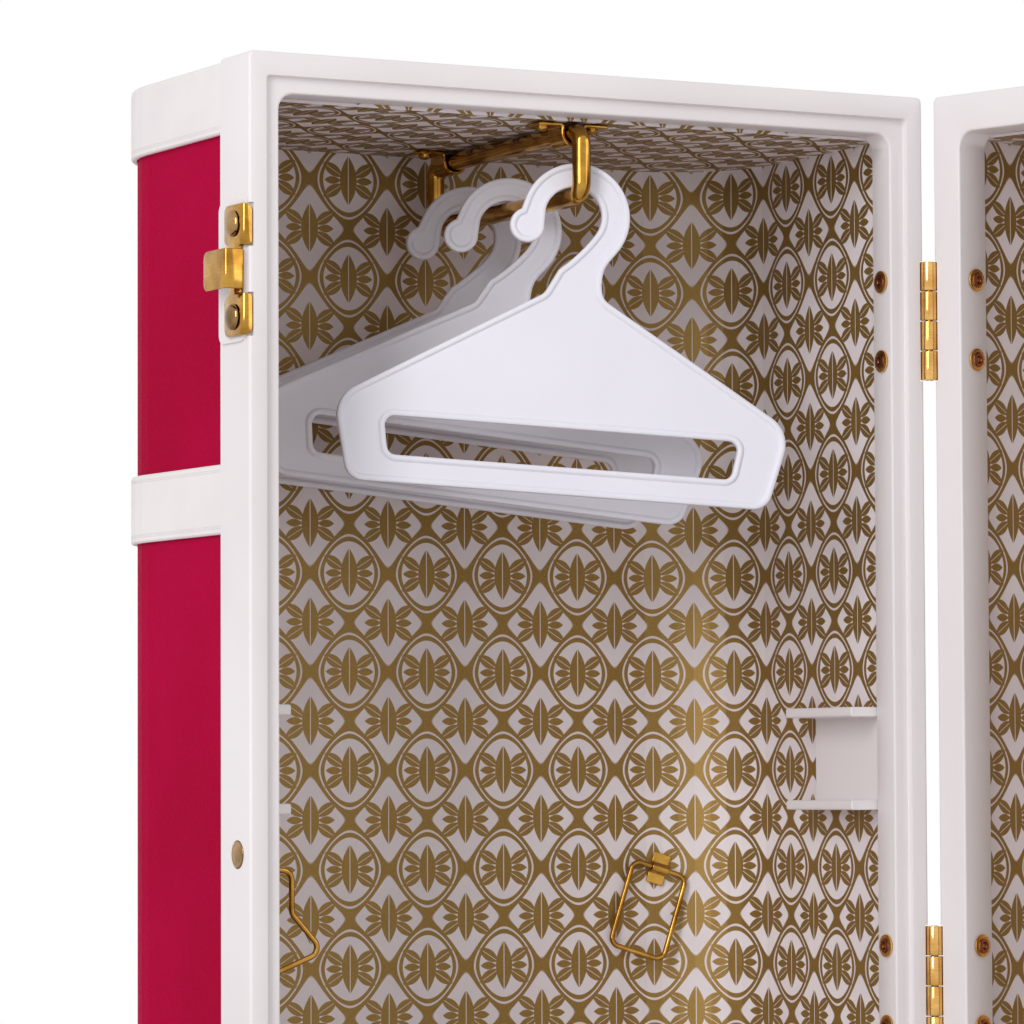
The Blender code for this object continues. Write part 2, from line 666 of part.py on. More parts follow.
def keeper(tag, z, parent):
    """Brass plate on the flange with a hook tab that opens to the rear."""
    u0 = PAD_T + GAP
    out = lambda u: -hw - u
    u1, r = u0 + KEEPER_T, KEEPER_BEND
    y0, y1 = KEEPER_FRONT + r, KEEPER_FRONT + KEEPER_W
    low, high, c = z - KEEPER_L / 2, z + KEEPER_L / 2, KEEPER_CORNER
    plate = rounded([(y0, low, 0), (y1, low, c), (y1, high, c), (y0, high, 0)])
    ob = put(f"keeper_{tag}", prism(plate, out(u1), out(u0), "YZ"), brass, parent, 40)
    lip = -hw + KEEPER_LIP
    outer = arc(out(u1 - r), y0, r, 180, 270, ARC_STEPS)[1:]
    inner = arc(out(u1 - r), y0, r - KEEPER_T, 270, 180, ARC_STEPS)[:-1]
    bend = [(out(u1), y0 + KEEPER_T), (out(u1), y0)] + outer + [(lip, y0 - r), (lip, y0 - r + KEEPER_T)] + \
        inner + [(out(u0), y0), (out(u0), y0 + KEEPER_T)]
    for k, (b0, b1) in enumerate(wings(z)):
        cutter(ob, prism(bend, b0, b1, "XY"), f"keeper_{tag}_bend{k}", "UNION")
    a, b = z - TAB_H / 2, z + TAB_H / 2
    far = out(u0 + TAB_RISE)
    cutter(ob, box(out(u1), out(u0), TAB_FRONT, y0 + KEEPER_T, a, b), f"keeper_{tag}_root", "UNION")
    cutter(ob, box(far, out(u0 + KEEPER_T / 2), TAB_FRONT, TAB_FRONT + KEEPER_T, a, b),
           f"keeper_{tag}_riser", "UNION")
    cutter(ob, box(far, far + KEEPER_T, TAB_FRONT + KEEPER_T / 2, TAB_FRONT + TAB_RUN, a, b),
           f"keeper_{tag}_tab", "UNION")
    for k, which in ((1, "a"), (-1, "b")):
        place = (out(u0 + KEEPER_T + GAP), DOME_BACK, z + k * DOME_SPAN / 2)
        dome(f"keeper_{tag}_rivet_{which}", place, brass, parent)


# Straps that hold a bar against a surface
def strap_outline(bar_r, drop, t, wing):
    """Half-round strap with two wings. The surface is at z = 0 and the bar is drop below it."""
    r_in = bar_r + GAP
    r_out = r_in + t
    top = -GAP
    under = top - t
    inner = arc(0, -drop, r_in, 180, 360, 8)
    outer = arc(0, -drop, r_out, 360, 180, 8)
    return [(-wing, top), (-r_in, top)] + inner + [(r_in, top), (wing, top), (wing, under), (r_out, under)] \
        + outer + [(-r_out, under), (-wing, under)]


def saddle(tag, y, parent):
    pts = [(x, ceiling + z) for x, z in strap_outline(BAR_R, ceiling - rail_top_z, STRAP_T, STRAP_WING)]
    put(f"rail_saddle_{tag}", prism(pts, y - STRAP_W / 2, y + STRAP_W / 2), brass, parent, 40)
    for k, which in ((-1, "a"), (1, "b")):
        top = ceiling - GAP - STRAP_T - GAP
        name = f"saddle_{tag}_screw_{which}"
        x = k * SCREW_OUT
        bm = rod((x, y, 0), "Z", SCREW_R * SCREW_TAPER_SHARE, top - SCREW_H, top, steps=12, r2=SCREW_R)
        ob = put(name, bm, brass, parent, 40)
        slot = box(x - SCREW_R * 2, x + SCREW_R * 2, y - SCREW_SLOT / 2, y + SCREW_SLOT / 2,
                   top - SCREW_H * 2, top - SCREW_H / 2)
        cutter(ob, slot, name + "_slot")


def rail(parent):
    """Closed loop of rod: the upper bar lies in the saddles, the lower one carries the hangers."""
    pivot = empty("rail_pivot", (0, 0, rail_top_z), parent)
    pts = [(RAIL_FRONT, 0), (rail_back, 0), (rail_back, -RAIL_LOOP_H), (RAIL_FRONT, -RAIL_LOOP_H)]
    wire("clothes_rail", pts, BAR_R, brass, pivot, plane="YZ", bend=RAIL_BEND_R, fine=BAR_STEPS)
    return pivot


# Hangers
def bezier(p0, p1, p2, p3, steps):
    out = []
    for i in range(1, steps):
        t = i / steps
        s = 1 - t
        out.append(tuple(s ** 3 * a + 3 * s * s * t * b + 3 * s * t * t * c + t ** 3 * d
                         for a, b, c, d in zip(p0, p1, p2, p3)))
    return out


def hanger_outline():
    """Seen from the front; the hook's centre is the origin, the hook opens to the left."""
    ring_out = arc(0, 0, HOOK_R, *HOOK_ARC, 13)
    ball = arc(-HOOK_BALL_X, -HOOK_BALL_Z, HOOK_BALL_R, *BALL_ARC, 8)
    ring_in = arc(-HOLE_LEFT, HOLE_UP, HOLE_R, *INNER_ARC, 10)
    a, b, c, d, e, g = (NECK_R * share for share in PULL_SHARES)
    (x0, z0), (x1, z1) = ring_out[0], ring_in[-1]
    (xn, zn), (xk, zk) = NECK_RIGHT, KNEE_LEFT
    rise = bezier(NECK_RIGHT, (xn, zn + NECK_R), (x0 - a, z0 - b), (x0, z0), 3)
    fall = bezier((x1, z1), (x1 - c, z1 - d), (xk + e, zk + g), KNEE_LEFT, 4)
    hook = rise + ring_out + ball + ring_in + fall
    low, tip = -HANGER_END_Z, -SHOULDER_FALL
    body = rounded([(*fall[-1], 0), (*KNEE_LEFT, KNEE_R), (*SHOULDER_LEFT, NECK_R),
                    (-HANGER_HALF, tip, TIP_R), (-HANGER_HALF + FOOT_IN, low, FOOT_R),
                    (HANGER_HALF - FOOT_IN, low, FOOT_R), (HANGER_HALF, tip, TIP_R),
                    (*SHOULDER_RIGHT, NECK_R), (*NECK_RIGHT, 0)])[1:]
    return hook + body


def hanger_slot():
    top, low = -SLOT_TOP, -SLOT_BOTTOM
    return rounded([(-SLOT_HALF_TOP, top, SLOT_R), (-SLOT_HALF_BOTTOM, low, SLOT_R),
                    (SLOT_HALF_BOTTOM, low, SLOT_R), (SLOT_HALF_TOP, top, SLOT_R)])


def hanger(i, x, y, turn, tilt, parent):
    """Flat moulded hanger with a raised rim along every edge of both faces."""
    bm = bmesh.new()
    half = HANGER_T / 2
    for loop in (hanger_outline(), hanger_slot()):
        verts = [bm.verts.new((x, -half, z)) for x, z in loop]
        for a, b in zip(verts, verts[1:] + verts[:1]):
            bm.edges.new((a, b))
    bmesh.ops.triangle_fill(bm, use_beauty=True, use_dissolve=False, edges=bm.edges, normal=(0, -1, 0))
    rim = [e for e in bm.edges if e.is_boundary]
    wall = bmesh.ops.extrude_edge_only(bm, edges=rim)["geom"]
    bmesh.ops.translate(bm, verts=[g for g in wall if isinstance(g, bmesh.types.BMVert)], vec=(0, half, 0))
    front = [f for f in bm.faces if all(abs(v.co.y + half) < GAP for v in f.verts)]
    bmesh.ops.inset_region(bm, faces=front, thickness=HANGER_RIM, depth=0.0, use_even_offset=True,
                           use_boundary=True)
    inner = [f for f in front if f.is_valid]
    deep = {v for f in inner for v in f.verts}
    bmesh.ops.translate(bm, verts=list(deep), vec=(0, HANGER_SUNK, 0))
    bmesh.ops.mirror(bm, geom=bm.verts[:] + bm.edges[:] + bm.faces[:], matrix=Matrix.Identity(4),
                     merge_dist=MERGE, axis="Y")
    ob = put(f"hanger_{i}", bm, white_plastic, parent, 30)
    lean = math.radians(tilt)
    across = x - HOLE_LEFT * math.cos(lean) + HOLE_UP * math.sin(lean)
    above = HOLE_LEFT * math.sin(lean) + HOLE_UP * math.cos(lean)
    drop = math.sqrt((HOLE_R - BAR_R - GAP) ** 2 - across ** 2) + above
    ob.location = (x, y, -RAIL_LOOP_H - drop)
    ob.rotation_euler = (0, math.radians(tilt), -math.radians(turn))
    return ob


# Guides and wires inside the left half
def guide(tag, side, parent):
    """Moulded pair of ledges on a side wall, joined by a back plate."""
    wall = hw - room_x - GAP
    out = lambda u: side * (wall - u)
    top = CASE_H - GUIDE_TOP
    low = top - GUIDE_H
    r = GUIDE_SOFT
    pts = [(0, low, 0), (GUIDE_OUT, low, r), (GUIDE_OUT, low + GUIDE_T, r), (GUIDE_BACK_T, low + GUIDE_T, r),
           (GUIDE_BACK_T, top - GUIDE_T, r), (GUIDE_OUT, top - GUIDE_T, r), (GUIDE_OUT, top, r), (0, top, 0)]
    y0 = RETURN_D + 2 * GAP
    outline = rounded([(out(u), z, turn) for u, z, turn in pts])
    return put(f"guide_{tag}", prism(outline, y0, y0 + GUIDE_L), cream_plastic, parent, 40)


def clip(name, place, axes, parent, drop):
    """Small strap for a wire; axes say where its x, y and z point, z being into the wall."""
    bm = prism(strap_outline(WIRE_R, drop, CLIP_T, CLIP_WING), -CLIP_W / 2, CLIP_W / 2)
    ob = put(name, bm, brass, parent, 40)
    ob.location = place
    ob.rotation_euler = Matrix(axes).transposed().to_euler()
    return ob


def side_wire(parent):
    """Swinging wire bracket on the left wall; its upright side turns in a clip."""
    wall = -hw + room_x
    top = CASE_H - SIDE_WIRE_TOP
    drop = WIRE_R + 2 * GAP
    pivot = empty("side_wire_pivot", (wall + drop, SIDE_WIRE_Y, top), parent)
    knee, far, h = SIDE_WIRE_STEP, SIDE_WIRE_REACH, SIDE_WIRE_H
    pts = [(0, 0), (knee, -WIRE_R), (knee, -h * KNEE_SHARE), (far, -h * FAR_SHARE), (0, -h)]
    wire("side_wire", pts, WIRE_R, brass, pivot, bend=WIRE_BEND_R)
    clip("side_wire_clip", (wall, SIDE_WIRE_Y, top - h / 2), ((0, -1, 0), (0, 0, 1), (-1, 0, 0)), parent,
         drop)


def back_loop(parent):
    """Wire loop that hangs from a clip on the back wall."""
    drop = BACK_LOOP_OFF
    z = CASE_H - BACK_LOOP_TOP
    r = CORNER_R - (room_x - PANEL_INSET)
    flat = hw - room_x - r
    round_by = math.asin((hw - BACK_LOOP_IN - flat) / r) if hw - BACK_LOOP_IN > flat else 0.0
    x, y = hw - BACK_LOOP_IN, room_y - r + r * math.cos(round_by) - BACK_LOOP_SEAT
    turned = (0, math.radians(BACK_LOOP_TURN), -round_by)
    seat = empty("back_loop_seat", (x, y, z), parent, turned)
    pivot = empty("back_loop_pivot", (0, -drop, 0), seat, (-math.radians(BACK_LOOP_LEAN), 0, 0))
    w, h = BACK_LOOP_W / 2, BACK_LOOP_H
    wire("back_loop", [(-w, 0), (w, 0), (w, -h), (-w, -h)], WIRE_R, brass, pivot, bend=WIRE_BEND_R)
    clip("back_loop_clip", (0, 0, 0), ((0, 0, 1), (1, 0, 0), (0, 1, 0)), seat, drop)


# Latches and handle on the free edge of the right half
def latch(tag, z, parent):
    """Base with two ears, a lever on trunnions between them and a wire bail on the lever."""
    out = lambda u: hw + u
    base = put(f"latch_{tag}_base", box(out(GAP), out(GAP + LATCH_T), LATCH_FRONT, LATCH_FRONT + LATCH_W,
               z - KEEPER_L / 2, z + KEEPER_L / 2), brass, parent, 40)
    ax, ay = out(LEVER_OUT), LEVER_BACK
    for k in (-1, 1):
        a, b = sorted((z + k * EAR_GAP / 2, z + k * (EAR_GAP / 2 + EAR_T)))
        y0 = ay - EAR_W / 2
        cutter(base, box(out(GAP + LATCH_T / 2), out(GAP + LATCH_T / 2 + EAR_H), y0, y0 + EAR_W, a, b),
               f"latch_{tag}_ear{k}", "UNION")
    cutter(base, rod((ax, ay, z), "Z", TRUNNION_R + FIT_SLACK, -KEEPER_L, KEEPER_L), f"latch_{tag}_bore")
    pivot = empty(f"latch_{tag}_lever_pivot", (ax, ay, z), parent)
    w = LEVER_W / 2
    y1 = LEVER_L
    lever = put(f"latch_{tag}_lever", box(-LEVER_T / 2, LEVER_T / 2, 0, y1, -w, w), brass, pivot, 40)
    reach = EAR_GAP / 2 + TRUNNION_L
    cutter(lever, rod((0, 0, 0), "Z", TRUNNION_R, -reach, reach), f"latch_{tag}_trunnion", "UNION")
    eye_r = BAIL_R + FIT_SLACK + EYE_WALL
    bx, by = BAIL_OUT, BAIL_BACK
    cutter(lever, box(0, bx, by - eye_r, by + eye_r, -w, w), f"latch_{tag}_rib", "UNION")
    cutter(lever, rod((bx, by, 0), "Z", eye_r, -w, w), f"latch_{tag}_tube", "UNION")
    cutter(lever, rod((bx, by, 0), "Z", BAIL_R + FIT_SLACK, -LEVER_W, LEVER_W), f"latch_{tag}_eye")
    swing = empty(f"latch_{tag}_bail_pivot", (bx, by, 0), pivot)
    v = BAIL_W / 2
    wire(f"latch_{tag}_bail", [(0, -v), (BAIL_L, -v), (BAIL_L, v), (0, v)], BAIL_R, brass, swing,
         plane="YZ", bend=BAIL_BEND_R)


def handle(parent):
    """Carrying handle that folds back against the side, between two bored blocks."""
    mid = CASE_H / 2
    x = hw + HANDLE_OUT
    pivot = empty("handle_pivot", (x, LEVER_BACK + MOUNT_W / 2, mid), parent)
    half = HANDLE_SPAN / 2
    far = half - MOUNT_H - GAP - HANDLE_NECK
    end = half - MOUNT_H + MOUNT_BORE - FIT_SLACK
    ease = HANDLE_SLOPE * SLOPE_SHARE
    pts = rounded([(0, -end, 0), (0, -far - ease, HANDLE_BEND_R / 2),
                   (HANDLE_REACH, -far + HANDLE_SLOPE, HANDLE_BEND_R),
                   (HANDLE_REACH, far - HANDLE_SLOPE, HANDLE_BEND_R),
                   (0, far + ease, HANDLE_BEND_R / 2), (0, end, 0)])
    wire("carry_handle", pts, HANDLE_R, grip, pivot, closed=False, plane="YZ")
    for k, tag in ((1, "upper"), (-1, "lower")):
        z0, z1 = sorted((mid + k * (half - MOUNT_H), mid + k * half))
        y = LEVER_BACK + MOUNT_W / 2
        depth = HANDLE_OUT + HANDLE_R + FIT_SLACK + LATCH_T
        ob = put(f"handle_mount_{tag}", box(hw + GAP, hw + depth, y - MOUNT_W / 2, y + MOUNT_W / 2, z0, z1),
                 brass, parent, 40)
        mod = ob.modifiers.new("soft", "BEVEL")
        mod.width = MOUNT_SOFT
        mod.segments = 2
        mod.limit_method = "ANGLE"
        mouth = mid + k * (half - MOUNT_H)
        a, b = sorted((mouth - k * CUT, mouth + k * MOUNT_BORE))
        cutter(ob, rod((x, y, 0), "Z", HANDLE_R + FIT_SLACK, a, b), f"handle_mount_{tag}_bore")


# Assembly
def bands(tag, parent):
    band(f"band_{tag}_top", parent, end_section(1))
    band(f"band_{tag}_upper", parent, middle_section(CASE_H - BAND_MID_Z))
    band(f"band_{tag}_lower", parent, middle_section(BAND_MID_Z))
    band(f"band_{tag}_bottom", parent, end_section(-1))


def build():
    left = empty("left_half", (0, front_y, 0))
    turn = -math.radians(180 - OPEN_DEG)
    right_pin = empty("case_hinge", (hw + PIN_OUT, front_y - PIN_FORWARD, 0), None, (0, 0, turn))
    right = empty("right_half", (hw + PIN_OUT, PIN_FORWARD, 0), right_pin)
    shell("shell_left", left, 1)
    lining("lining_left", left)
    frame("frame_left", left, True, 1)
    bands("left", left)
    glides("left", left)
    shell("shell_right", right, -1)
    lining("lining_right", right)
    frame("frame_right", right, False, -1)
    bands("right", right)
    glides("right", right)
    for i, z in enumerate(hinge_heights()):
        hinge(i + 1, z, left, right)
    keeper("upper", CASE_H - KEEPER_Z, left)
    keeper("lower", KEEPER_Z, left)
    spot = (0, SIDE_RIVET_Y, CASE_H - SIDE_RIVET_Z)
    put("side_rivet", rod(spot, "X", SIDE_RIVET_R, -hw - SIDE_RIVET_PROUD, -hw + SIDE_RIVET_T), brass, left,
        40)
    saddle("front", RAIL_FRONT + STRAP_IN, left)
    saddle("back", rail_back - STRAP_IN, left)
    pivot = rail(left)
    places = zip(HANGER_SHARES, HANGER_SHIFTS, HANGER_TURNS, HANGER_TILTS)
    for i, (share, x, turned, tilt) in enumerate(places):
        hanger(i + 1, x, RAIL_FRONT + share * (rail_back - RAIL_FRONT), turned, tilt, pivot)
    guide("left", -1, left)
    guide("right", 1, left)
    side_wire(left)
    back_loop(left)
    latch("upper", CASE_H - KEEPER_Z, right)
    latch("lower", KEEPER_Z, right)
    handle(right)


build()
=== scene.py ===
# %% [markdown]
# # Dressing a doll's wardrobe trunk
#
# The trunk comes in as a fixed frame of separate pieces: two deep half cases on three hinges, a
# hanging rail with its hangers, and small brass fittings. This lesson gives each piece its finish,
# rebuilds those whose roundness shows, and lights it all as in a studio.

# %% Load the frame
import json
import math

import bmesh
import bpy
from mathutils import Matrix, Vector

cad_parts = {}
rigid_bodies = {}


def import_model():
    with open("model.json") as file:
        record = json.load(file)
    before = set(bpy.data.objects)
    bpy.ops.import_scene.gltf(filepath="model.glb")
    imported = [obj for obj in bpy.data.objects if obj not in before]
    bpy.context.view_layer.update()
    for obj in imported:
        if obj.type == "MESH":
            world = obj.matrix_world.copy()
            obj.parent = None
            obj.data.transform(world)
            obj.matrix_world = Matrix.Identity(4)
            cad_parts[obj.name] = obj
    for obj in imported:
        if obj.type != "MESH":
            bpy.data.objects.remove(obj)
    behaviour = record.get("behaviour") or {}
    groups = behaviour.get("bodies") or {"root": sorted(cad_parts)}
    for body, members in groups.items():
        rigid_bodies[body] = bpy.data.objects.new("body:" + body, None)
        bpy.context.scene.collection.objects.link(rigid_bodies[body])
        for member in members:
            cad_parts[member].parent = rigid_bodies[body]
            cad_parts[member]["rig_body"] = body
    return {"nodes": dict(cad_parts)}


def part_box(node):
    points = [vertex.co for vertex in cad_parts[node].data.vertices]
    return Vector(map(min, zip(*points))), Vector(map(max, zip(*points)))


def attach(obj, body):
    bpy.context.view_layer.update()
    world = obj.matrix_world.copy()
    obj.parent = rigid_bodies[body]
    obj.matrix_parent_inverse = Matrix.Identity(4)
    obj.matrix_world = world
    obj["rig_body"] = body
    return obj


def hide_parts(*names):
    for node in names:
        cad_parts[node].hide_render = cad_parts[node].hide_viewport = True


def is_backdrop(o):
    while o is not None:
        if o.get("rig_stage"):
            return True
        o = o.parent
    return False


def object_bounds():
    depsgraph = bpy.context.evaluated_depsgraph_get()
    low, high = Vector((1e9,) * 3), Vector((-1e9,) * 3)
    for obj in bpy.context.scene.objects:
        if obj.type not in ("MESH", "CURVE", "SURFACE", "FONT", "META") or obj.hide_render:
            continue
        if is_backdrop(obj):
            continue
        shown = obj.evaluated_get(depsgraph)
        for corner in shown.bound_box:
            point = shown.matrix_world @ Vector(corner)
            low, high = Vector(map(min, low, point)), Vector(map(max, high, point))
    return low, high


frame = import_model()
cad_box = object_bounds()
nodes = frame["nodes"]


def add_object(name, data):
    """A new object in the scene; data is its mesh, lamp or camera."""
    if isinstance(data, bmesh.types.BMesh):
        mesh = bpy.data.meshes.new(name)
        data.to_mesh(mesh)
        data.free()
        data = mesh
    thing = bpy.data.objects.new(name, data)
    bpy.context.scene.collection.objects.link(thing)
    return thing


# %% [markdown]
# ## The two layouts
#
# Each half case was laid out flat, with x across its mouth, y from the mouth to its back and z up,
# and the right half was then turned on the hinge pins. A print or a row of stitches follows the
# case, not the room, so we keep both turns at hand.

# %% The cases' own sizes, in metres
HALF_W = 0.11875  # half of the frame's width
CASE_H = 0.566
CASE_D = 0.120
MOUTH_Y = -0.0102  # where the left mouth stands in the room
TURN = math.radians(73.7)  # how far the right half is folded forward
GAP = 0.0003  # clearance between neighbouring pieces

# %% Where the pieces lie
ROOM_X, ROOM_Y = 0.11155, 0.1163  # inside of the lining, from the middle and from the mouth
ROOM_R = 0.0351  # rear corners of the lining
CEILING = 0.5529  # inside of the lining, above the floor
BAND_X, BAND_BACK, BAND_R = 0.11725, CASE_D + 0.002, 0.0408  # outside of the middle bands
PIN_OUT, PIN_FORE = 0.0019, 0.0003  # the hinge pins, off the flange and before the mouth
PIN = Vector((HALF_W + PIN_OUT, MOUTH_Y - PIN_FORE, 0.0))
HINGE_LONG = 0.0381
HINGE_Z = (CASE_H - 0.0717, CASE_H / 2, 0.0717)
RIVET_BACK, RIVET_STEP = 0.0075, 0.0254  # a hinge's rivets, behind the mouth and apart
FITTING_Z = {"upper": CASE_H - 0.0655, "lower": 0.0655}  # keepers and latches
SIDE_RIVET_Y, SIDE_RIVET_Z = 0.0088, CASE_H - 0.2392
LAYOUT = {
    "left": Matrix.Translation((0.0, MOUTH_Y, 0.0)),
    "right": Matrix.Translation(PIN) @ Matrix.Rotation(-TURN, 4, "Z")
    @ Matrix.Translation((PIN.x, PIN_FORE, 0.0)),
}
LEFT, RIGHT = LAYOUT.values()
print("far edge of the right half at", tuple(round(v, 4) for v in RIGHT @ Vector((HALF_W, 0, 0))))

# %% [markdown]
# ## Camera
#
# The camera was worked out from the edges of the case: a long lens, a little below the middle of
# the trunk's upper half, looking slightly up. Its turn is built from three plain rotations.

# %% Camera
SENSOR, LENS = 36.0, 177.31  # millimetres
STAND = (-0.7560, -1.3602, 0.3472)
HEADING, PITCH, ROLL = (math.radians(angle) for angle in (-28.25, 93.095, -0.238))
camera_data = bpy.data.cameras.new("camera")
camera_data.sensor_width = SENSOR
camera_data.lens = LENS
camera = add_object("camera", camera_data)
turned_level = Matrix.Rotation(HEADING, 4, "Z") @ Matrix.Rotation(PITCH, 4, "X")
camera.matrix_world = Matrix.Translation(STAND) @ (turned_level @ Matrix.Rotation(ROLL, 4, "Z"))
bpy.context.scene.camera = camera
print("camera at", tuple(camera.location))

# %% [markdown]
# ## Lamps
#
# The light is soft: a tall box high on the left, which draws long highlights down the rods and
# barrels, and a weaker square one on the right. The sky gives the rest.

# %% Lamps
# Place, aim, width and height in metres, and watts.
LAMPS = {"key": ((-2.0, -1.35, 1.3), (0.0, 0.0, 0.35), 0.8, 1.7, 34.0),
         "fill": ((1.6, -1.5, 0.9), (0.05, 0.0, 0.3), 1.4, 1.4, 10.0)}
for name, (place, aim, wide, tall, watts) in LAMPS.items():
    data = bpy.data.lights.new(name, "AREA")
    data.shape = "RECTANGLE"
    data.size = wide
    data.size_y = tall
    data.energy = watts
    lamp = add_object(name, data)
    lamp.location = place
    lamp.rotation_euler = (Vector(aim) - Vector(place)).to_track_quat("-Z", "Y").to_euler()
print("lamps:", ", ".join(LAMPS))

# %% [markdown]
# ## Shader maths as Python
#
# A procedural finish is a chain of small sums. Wired by hand it is hard to read, so one class
# wraps a socket and lets + - * / and > write the Math nodes. Colours go through Mix nodes, because
# a Math node would turn them grey, and every other node comes from one method.


# %% Sockets and finishes
class Value:
    """A number that changes over a surface: one output socket of a finish."""

    def __init__(self, finish, socket):
        self.finish, self.socket = finish, socket

    def math(self, operation, *terms):
        return self.finish.node("Math", {"operation": operation}, dict(enumerate(terms)))

    def __add__(self, other): return self.math("ADD", self, other)
    def __radd__(self, other): return self.math("ADD", other, self)
    def __sub__(self, other): return self.math("SUBTRACT", self, other)
    def __rsub__(self, other): return self.math("SUBTRACT", other, self)
    def __mul__(self, other): return self.math("MULTIPLY", self, other)
    def __rmul__(self, other): return self.math("MULTIPLY", other, self)
    def __truediv__(self, other): return self.math("DIVIDE", self, other)
    def __rtruediv__(self, other): return self.math("DIVIDE", other, self)
    def __pow__(self, other): return self.math("POWER", self, other)
    def __gt__(self, other): return self.math("GREATER_THAN", self, other)
    def __abs__(self): return self.math("ABSOLUTE", self)

    def least(self, other): return self.math("MINIMUM", self, other)
    def most(self, other): return self.math("MAXIMUM", self, other)
    def cosine(self): return self.math("COSINE", self)
    def turn_to(self, other): return self.math("ARCTAN2", self, other)

    def ramp(self, low, high, start=0.0, end=1.0):
        """start below low, end above high, smooth between."""
        return self.finish.node("MapRange", {"interpolation_type": "SMOOTHSTEP"}, {
            "Value": self, "From Min": low, "From Max": high, "To Min": start, "To Max": end})


class Finish:
    """A material, or the world's own shading, built from the shader outwards."""

    def __init__(self, name, world=None):
        self.material = world or bpy.data.materials.new(name)
        self.material.use_nodes = True
        self.tree = self.material.node_tree
        self.tree.nodes.clear()

    def node(self, kind, settings=None, sockets=None, out=0):
        node = self.tree.nodes.new("ShaderNode" + kind)
        for key, value in (settings or {}).items():
            setattr(node, key, value)
        for key, value in (sockets or {}).items():
            if isinstance(value, Value):
                self.tree.links.new(value.socket, node.inputs[key])
            else:
                node.inputs[key].default_value = value
        return Value(self, node.outputs[out]) if node.outputs else None

    def mix(self, mask, low, high):
        """The colour low where mask is 0 and high where it is 1."""
        return self.node("Mix", {"data_type": "RGBA", "clamp_factor": True},
                         {0: mask, 6: low, 7: high}, 2)

    def place(self, half="left"):
        """Where a point lies in its case's own layout, in millimetres: a vector."""
        back = LAYOUT[half].inverted()
        return self.node("Mapping", {"vector_type": "POINT"}, {
            "Vector": self.node("TexCoord", out=3), "Location": tuple(1000 * back.translation),
            "Rotation": (0.0, 0.0, TURN if half == "right" else 0.0), "Scale": (1000.0,) * 3})

    def split(self, vector):
        node = self.tree.nodes.new("ShaderNodeSeparateXYZ")
        self.tree.links.new(vector.socket, node.inputs[0])
        return [Value(self, output) for output in node.outputs]

    def noise(self, vector, per_mm, detail=2.0, stretch=None):
        if stretch:
            vector = self.node("VectorMath", {"operation": "MULTIPLY"}, {0: vector, 1: stretch})
        return self.node("TexNoise", {}, {"Vector": vector, "Scale": per_mm, "Detail": detail})

    def cells(self, vector, per_mm, feature="F1"):
        return self.node("TexVoronoi", {"feature": feature}, {"Vector": vector, "Scale": per_mm})

    def bump(self, height, depth_mm):
        """A normal tilted by a height from 0 to 1 that stands for depth_mm."""
        return self.node("Bump", {}, {"Height": height, "Distance": depth_mm / 1000, "Strength": 1.0})

    def done(self, **sockets):
        shader = self.node("BsdfPrincipled", {}, {k.replace("_", " "): v for k, v in sockets.items()})
        self.node("OutputMaterial", {}, {"Surface": shader})
        return self.material


def srgb(red, green, blue, alpha=1.0):
    """A colour as it looks on a screen, 0 to 255, as the linear values that shaders use."""
    linear = [((c / 255 + 0.055) / 1.055) ** 2.4 if c > 10.3 else c / 255 / 12.92
              for c in (red, green, blue)]
    return (*linear, alpha)


print("the frames' white is", [round(c, 3) for c in srgb(230, 224, 225)])

# %% [markdown]
# ## Sky and floor
#
# The world is plain white to the eye and in reflections, but dimmer where it lights a surface, so
# that pale plastic keeps its shading and the inside of the case is darker than its mouth. The
# trunk stands on a pale floor that fades into the same white a step away from it.

# %% Sky and floor
SKY_LIGHT = 0.58  # strength of the white sky where it lights a surface
FLOOR_R = 3.0
FLOOR_PLACE = (0.05, 0.0, -0.0005)
FADE_START, FADE_END = 0.55, 1.5
WHITE = (1.0, 1.0, 1.0, 1.0)
MATT = (0.86, 0.86, 0.86, 1.0)


def looked_at(finish):
    """1 for what the eye, a reflection or a clear piece sees, 0 for what lights a surface."""
    rays = finish.node("LightPath").socket.node.outputs
    seen = Value(finish, rays["Is Camera Ray"]) + Value(finish, rays["Is Glossy Ray"])
    return (seen + Value(finish, rays["Is Transmission Ray"])).least(1.0)


world = bpy.data.worlds.new("studio")
bpy.context.scene.world = world
bpy.context.scene.view_settings.view_transform = "Standard"
sky = Finish("studio", world)
strength = looked_at(sky).ramp(0.0, 1.0, SKY_LIGHT, 1.0)
light = sky.node("Background", {}, {"Color": WHITE, "Strength": strength})
sky.node("OutputWorld", {}, {"Surface": light})

disc = bmesh.new()
bmesh.ops.create_circle(disc, cap_ends=True, segments=96, radius=FLOOR_R)
floor = add_object("floor", disc)
floor.location = FLOOR_PLACE
floor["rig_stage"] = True

pale = Finish("floor")
away = pale.node("VectorMath", {"operation": "LENGTH"}, {0: pale.node("TexCoord", out=3)}, 1)
matt = pale.node("BsdfDiffuse", {}, {"Color": MATT})
glow = pale.node("Emission", {}, {"Color": WHITE, "Strength": 1.0})
fade = away.ramp(FADE_START, FADE_END) * looked_at(pale)
ground = pale.node("MixShader", {}, {0: fade, 1: matt, 2: glow})
pale.node("OutputMaterial", {}, {"Surface": ground})
floor.data.materials.append(pale.material)
print("sky lights at", SKY_LIGHT, "and the floor fades from", FADE_START, "to", FADE_END, "m")

# %% [markdown]
# ## Red covering
#
# The panels are fibreboard wrapped in a smooth vinyl with a fine pebble grain. Small smooth cells
# make the pebbles; a slow noise varies the tone and the gloss as the glue under a covering does.
# The bump is less than a tenth of a millimetre deep.


